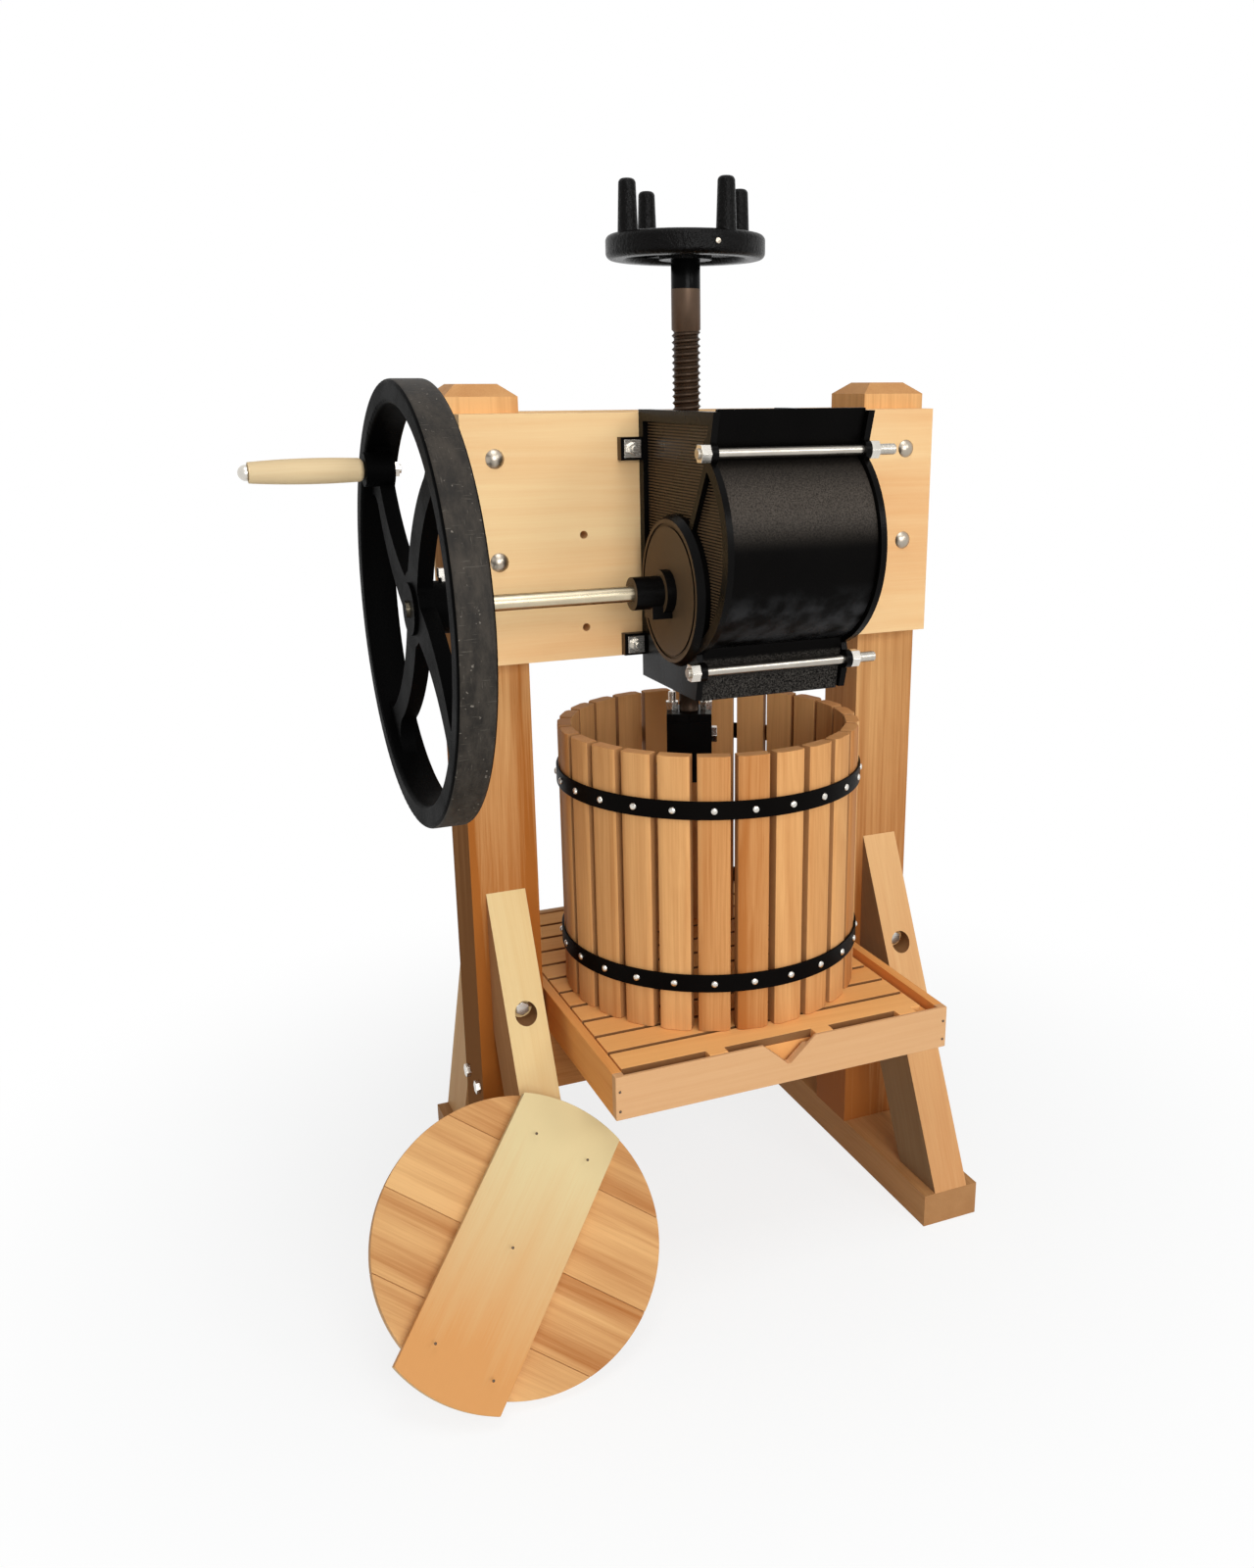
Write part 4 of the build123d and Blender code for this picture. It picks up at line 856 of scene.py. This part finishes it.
def wheel_tread(face):
    """The outer band of the flywheel."""
    spot = face.calc_center_median() - SHAFT
    return int(abs(face.normal.x) < SIDE_COSINE and Vector((0, spot.y, spot.z)).length > FLYWHEEL_RIM)


castings = {
    # The round boss of each end plate takes the brown painted reflection.
    "grinder_left_plate": (1.6, (cast_enamel, plate_painted_reflection), plate_flat),
    "grinder_right_plate": (1.6, (cast_enamel, plate_painted_reflection), plate_flat),
    "grinder_front_cover": (1.4, (cover_enamel,), None),
    "flywheel": (2.0, (wheel_paint, tread_paint), wheel_tread),
    "screw_wheel": (1.5, (rough_enamel,), None),
    "press_foot": (1.5, (cast_enamel,), None),
    "foot_retainer": (1.0, (cast_enamel,), None),
    "screw_nut": (1.0, (cast_enamel,), None),
    "tub_upper_hoop": (0.6, (hoop_paint,), None),
    "tub_lower_hoop": (0.6, (hoop_paint,), None),
    "left_bearing_bush": (0.4, (bush_bronze,), None),
    "right_bearing_bush": (0.4, (bush_bronze,), None),
}
for node, (radius, finishes, choose) in castings.items():
    eased(node, radius, *finishes, choose=choose)
print("castings:", len(castings), "eased")

# %% Bright fittings
FITTING_EDGE = 0.5


def shaft_end(face):
    """The painted end of the shaft, outside the flywheel."""
    return int(face.calc_center_median().x < SHAFT_END)


special_fittings = {
    "drive_shaft": ((shaft_steel, wheel_paint), shaft_end),
    "header_bolts": ((dull_steel,), None),
    "tie_rods": ((rod_steel,), None),
}
fittings = [node for node, slot in slot_of.items() if slot == "bright_steel"]
for node in fittings:
    finishes, choose = special_fittings.get(node, ((bright_steel,), None))
    eased(node, FITTING_EDGE, *finishes, choose=choose)
print("fittings:", len(fittings), "sets of bright steel")

# %% [markdown]
# ## Recipes
# Screws round a hoop, turns of a thread and ribs on a plate all repeat. A loop could place them too, but a Geometry
# Nodes recipe with named inputs can be opened and changed by hand. A piece uses a recipe once, takes its result as a
# plain mesh and rides on its body.


# %% Recipe helper
class Recipe(Graph):
    """A Geometry Nodes group with named inputs, used once for each piece."""

    KINDS = {int: "NodeSocketInt", float: "NodeSocketFloat", tuple: "NodeSocketVector"}

    def __init__(self, name, **inputs):
        super().__init__(bpy.data.node_groups.new(name, "GeometryNodeTree"))
        self.socket("Geometry", "NodeSocketGeometry", "OUTPUT")
        self.socket("Geometry", "NodeSocketGeometry")
        self.keys = {"Material": self.socket("Material", "NodeSocketMaterial").identifier}
        for label, default in inputs.items():
            entry = self.socket(label, self.KINDS[type(default)])
            entry.default_value = default
            self.keys[label] = entry.identifier
        self.source = self.tree.nodes.new("NodeGroupInput")
        self.result = self.tree.nodes.new("NodeGroupOutput")

    def socket(self, label, kind, way="INPUT"):
        return self.tree.interface.new_socket(label, in_out=way, socket_type=kind)

    def given(self, label):
        return Wire(self, self.source.outputs[label])

    def copies(self, points, instance, **sockets):
        """One copy of the instance on every point."""
        return self.add("GeometryNodeInstanceOnPoints", None, dict(sockets, Points=points, Instance=instance))

    def serve(self, geometry):
        """Ends the recipe: real geometry in the given material."""
        real = self.add("GeometryNodeRealizeInstances", None, {"Geometry": geometry})
        done = self.add("GeometryNodeSetMaterial", None, {"Geometry": real, "Material": self.given("Material")})
        self.tree.links.new(done.socket, self.result.inputs["Geometry"])

    def make(self, name, shape, body, slot, material, **values):
        """A piece from this recipe on a body, its inputs set before it is first worked out."""
        piece = new_piece(name, shape, [material])
        modifier = piece.modifiers.new(name, "NODES")
        modifier.node_group = self.tree
        for label, value in dict(values, Material=material).items():
            modifier[self.keys[label]] = value
        settled(piece)
        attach(piece, body)


print("recipe helper: inputs may be", ", ".join(kind.__name__ for kind in Recipe.KINDS))


# %% Shapes that recipes start from
def turned(profile, sides):
    """A bmesh turned about Z from (radius, height) stations in millimetres, closed at both ends."""
    shape = bmesh.new()
    angles = [2 * pi * step / sides for step in range(sides)]
    rings = []
    for radius, height in profile:
        spots = [(radius * cos(a) * MM, radius * sin(a) * MM, height * MM) for a in angles]
        rings.append([shape.verts.new(spot) for spot in spots])
    for low, high in zip(rings, rings[1:]):
        for step in range(sides):
            after = (step + 1) % sides
            shape.faces.new((low[step], low[after], high[after], high[step]))
    shape.faces.new(rings[0][::-1])
    shape.faces.new(rings[-1])
    return shape


def seats(*places):
    """A bmesh of loose points, given in millimetres."""
    shape = bmesh.new()
    for place in places:
        shape.verts.new(Vector(place) * MM)
    return shape


SCREW_HEAD = ((4.6, -1.0), (4.6, 0.8), (3.9, 2.1), (2.2, 2.9), (0.9, 3.1))
PLUG = ((3.9, -6.0), (3.9, -0.6), (3.2, 0.0), (0.9, 0.3))
HEAD_SIDES = 16
print("shapes: a screw head", 2 * SCREW_HEAD[0][0], "mm wide and a plug", 2 * PLUG[0][0], "mm wide")

# %% [markdown]
# ## Hoop screws and rim plugs
# Each stave is held to both hoops by a round-headed screw, and the hand wheel's cross hole is closed by a plug at
# each end. They could be placed by hand, but all of them sit on a circle and face outwards, so one ring recipe serves
# for both.

# %% Ring of copies
ring = Recipe("ring of copies", Count=25, Radius=0.21, Height=0.0, Start=0.0, Centre=(0.0, 0.0, 0.0))
angle = ring.add("GeometryNodeInputIndex") / ring.given("Count") * (2 * pi) + ring.given("Start")
reach_x = angle.math("COSINE") * ring.given("Radius")
reach_y = angle.math("SINE") * ring.given("Radius")
spoke = ring.add("ShaderNodeCombineXYZ", None, {"X": reach_x, "Y": reach_y, "Z": ring.given("Height")})
spot = ring.add("ShaderNodeVectorMath", {"operation": "ADD"}, {0: spoke, 1: ring.given("Centre")})
points = ring.add("GeometryNodePoints", None, {"Count": ring.given("Count"), "Position": spot})
facing = ring.add("ShaderNodeCombineXYZ", None, {"Y": pi / 2, "Z": angle})
ring.serve(ring.copies(points, ring.given("Geometry"), Rotation=facing))

HOOP_RADIUS = 0.2105
HOOP_HEIGHTS = {"upper": 0.6777, "lower": 0.4430}
for name, height in HOOP_HEIGHTS.items():
    ring.make(
        name + "_hoop_screws",
        turned(SCREW_HEAD, HEAD_SIDES),
        "tub",
        "bright_steel",
        bright_steel,
        Count=STAVES,
        Radius=HOOP_RADIUS,
        Height=height,
        Start=FIRST_STAVE,
        Centre=TUB_CENTRE,
    )
RIM_RADIUS = 0.103
RIM_HEIGHT = 1.355
ring.make(
    "rim_plugs",
    turned(PLUG, HEAD_SIDES),
    "press_screw_group",
    "bright_steel",
    dull_steel,
    Count=2,
    Radius=RIM_RADIUS,
    Height=RIM_HEIGHT,
    Start=-pi / 2,
)
print("rings:", 2 * STAVES, "hoop screws and 2 plugs in the hand wheel's rim")

# %% [markdown]
# ## Threads
# The drawing has a plain cylinder where the press screw's thread goes. A bump map could hint at it, but its outline
# would stay smooth, so the screw gets a slimmer core and a real ridge that winds round it. The ridge climbs to the
# right, as on nearly every screw: turned clockwise from above, it goes down. Rods and studs have finer ones.

# %% Thread recipe
COIL_STEPS = 36
TOOTH_SIDES = 4
helix = Recipe("thread", Radius=0.016, Depth=0.003, Pitch=0.008, Length=0.1, Turn=(0.0, 0.0, 0.0))
coil = helix.add(
    "GeometryNodeCurveSpiral",
    None,
    {
        "Resolution": COIL_STEPS,
        "Rotations": helix.given("Length") / helix.given("Pitch"),
        "Start Radius": helix.given("Radius"),
        "End Radius": helix.given("Radius"),
        "Height": helix.given("Length"),
        "Reverse": True,
    },
)
upright = helix.add("GeometryNodeSetCurveNormal", {"mode": "Z_UP"}, {"Curve": coil})
tooth_sockets = {"Resolution": TOOTH_SIDES, "Radius": helix.given("Depth")}
tooth = helix.add("GeometryNodeCurvePrimitiveCircle", None, tooth_sockets)
ridge = helix.add("GeometryNodeCurveToMesh", None, {"Curve": upright, "Profile Curve": tooth, "Fill Caps": True})
helix.serve(helix.copies(helix.given("Geometry"), ridge, Rotation=helix.given("Turn")))
print("thread recipe:", COIL_STEPS, "steps to a turn")

# %% Press screw
SCREW_PITCH = 8.467
SCREW_RADIUS = 19.05
SCREW_SIDES = 64
THREAD_ROOT = 16.2
THREAD_LOW = 778.0
THREAD_TOP = 1252.0
PAINT_LOW = 1305.0
screw_profile = (
    (16.0, 702.7),
    (17.0, 704.0),
    (17.0, 732.7),
    (14.0, 732.7),
    (14.0, 774.0),
    (THREAD_ROOT, 774.5),
    (THREAD_ROOT, THREAD_TOP),
    (SCREW_RADIUS, THREAD_TOP + 3),
    (SCREW_RADIUS, PAINT_LOW),
    (SCREW_RADIUS, 1365.0),
    (18.0, 1366.0),
)
core = turned(screw_profile, SCREW_SIDES)
for face in core.faces:
    height = face.calc_center_median().z / MM
    face.smooth = abs(face.normal.z) < SIDE_COSINE
    face.material_index = (height > THREAD_TOP) + (height > PAINT_LOW)
stand_for(new_piece("press_screw_core", core, [thread_steel, shank_steel, gloss_paint]), "press_screw")
helix.make(
    "press_screw_thread",
    seats((0, 0, THREAD_LOW)),
    "press_screw_group",
    "screw_steel",
    thread_steel,
    Radius=THREAD_ROOT * MM,
    Depth=(SCREW_RADIUS - THREAD_ROOT) * MM,
    Pitch=SCREW_PITCH * MM,
    Length=(THREAD_TOP - THREAD_LOW) * MM,
)
print("press screw:", round((THREAD_TOP - THREAD_LOW) / SCREW_PITCH), "turns of thread")

# %% Rod and stud threads
ROD_ENDS = ((116, -300, 1112), (116, -268, 857))
ROD_THREAD = dict(Radius=0.0059, Depth=0.0005, Pitch=0.00175, Length=0.022, Turn=(0.0, pi / 2, 0.0))
STUD_ENDS = ((22.03, -9.53, 757.5), (-22.03, 9.53, 757.5))
STUD_THREAD = dict(Radius=0.0049, Depth=0.0005, Pitch=0.0015, Length=0.0125)
helix.make("tie_rod_threads", seats(*ROD_ENDS), "frame", "bright_steel", bright_steel, **ROD_THREAD)
helix.make("foot_stud_threads", seats(*STUD_ENDS), "press_foot_group", "bright_steel", bright_steel, **STUD_THREAD)
print("fine threads:", len(ROD_ENDS), "rods and", len(STUD_ENDS), "studs")

# %% [markdown]
# ## Plate ribs
# The sunk panels of the end plates are covered with fine level ribs, which the casting's pattern left there. They
# could be drawn as a bump, but they catch the light one by one, so each is a bar. Their front ends follow the
# panel's edge: round below, where the drum turns, and slanting out above, where the hopper flares.

# %% Plate ribs
RIB_DEPTH = 0.0018
THROAT = (-0.220, 1.001)
PANEL_RADIUS = 0.119
PANEL_REAR = -0.094
LIP_EDGE = (-0.286, 1.112)
LIP_SLOPE = 14 / 31
ribs = Recipe("panel ribs", Count=72, Pitch=0.0036, Bottom=0.888, Face=0.0955, Side=1.0)
level = ribs.add("GeometryNodeInputIndex") * ribs.given("Pitch") + ribs.given("Bottom")
rise = level - THROAT[1]
curved = THROAT[0] - (PANEL_RADIUS**2 - rise * rise).math("MAXIMUM", 0.0).math("SQRT")
flared = LIP_EDGE[0] - (level - LIP_EDGE[1]) * LIP_SLOPE
front = curved.math("MINIMUM", flared)
rib_x = ribs.given("Face") * ribs.given("Side")
spot = ribs.add("ShaderNodeCombineXYZ", None, {"X": rib_x, "Y": (front + PANEL_REAR) * 0.5, "Z": level})
rib_height = ribs.given("Pitch") * 0.5
size = ribs.add("ShaderNodeCombineXYZ", None, {"X": RIB_DEPTH, "Y": PANEL_REAR - front, "Z": rib_height})
points = ribs.add("GeometryNodePoints", None, {"Count": ribs.given("Count"), "Position": spot})
bar = ribs.add("GeometryNodeMeshCube", None, {"Size": (1.0, 1.0, 1.0)})
ribs.serve(ribs.copies(points, bar, Scale=size))
# The ribs take the brown painted reflection too.
for name, side in (("left", -1.0), ("right", 1.0)):
    ribs.make(name + "_plate_ribs", seats(), "frame", "black_enamel", plate_painted_reflection, Side=side)
print("plate ribs: on both end plates,", round(RIB_DEPTH / MM, 1), "mm deep")

# %% [markdown]
# ## Nails
# The cleat is nailed to the disc, and the tray's front to its sides. Only the heads show, as small dark dots. Flat
# discs would have to be turned to each face, so each is a bead sunk to its middle in the wood, round from any side.

# %% Nails
NAIL_RADIUS = 0.0018
CLEAT_FACE = 30.0
CLEAT_NAILS = ((43.0, 122.8), (100.6, 76.1), (-16.0, -5.5), (-128.3, -88.5), (-70.3, -146.4))
TRAY_FACE = -321.0
TRAY_NAILS_X = (-235.5, 235.5)
TRAY_NAILS_Z = (326.0, 353.0)
nails = Recipe("nail heads")
bead = nails.add("GeometryNodeMeshUVSphere", None, {"Segments": 12, "Rings": 8, "Radius": NAIL_RADIUS})
nails.serve(nails.copies(nails.given("Geometry"), bead))
cleat_spots = [BOARD_MIDDLE + ALONG["x"] * a + board_up * b + board_out * CLEAT_FACE for a, b in CLEAT_NAILS]
tray_spots = [(x, TRAY_FACE, z) for x in TRAY_NAILS_X for z in TRAY_NAILS_Z]
nails.make("cleat_nails", seats(*cleat_spots), "pressing_board", "bright_steel", nail_steel)
nails.make("tray_nails", seats(*tray_spots), "frame", "bright_steel", nail_steel)
print("nails:", len(cleat_spots) + len(tray_spots))
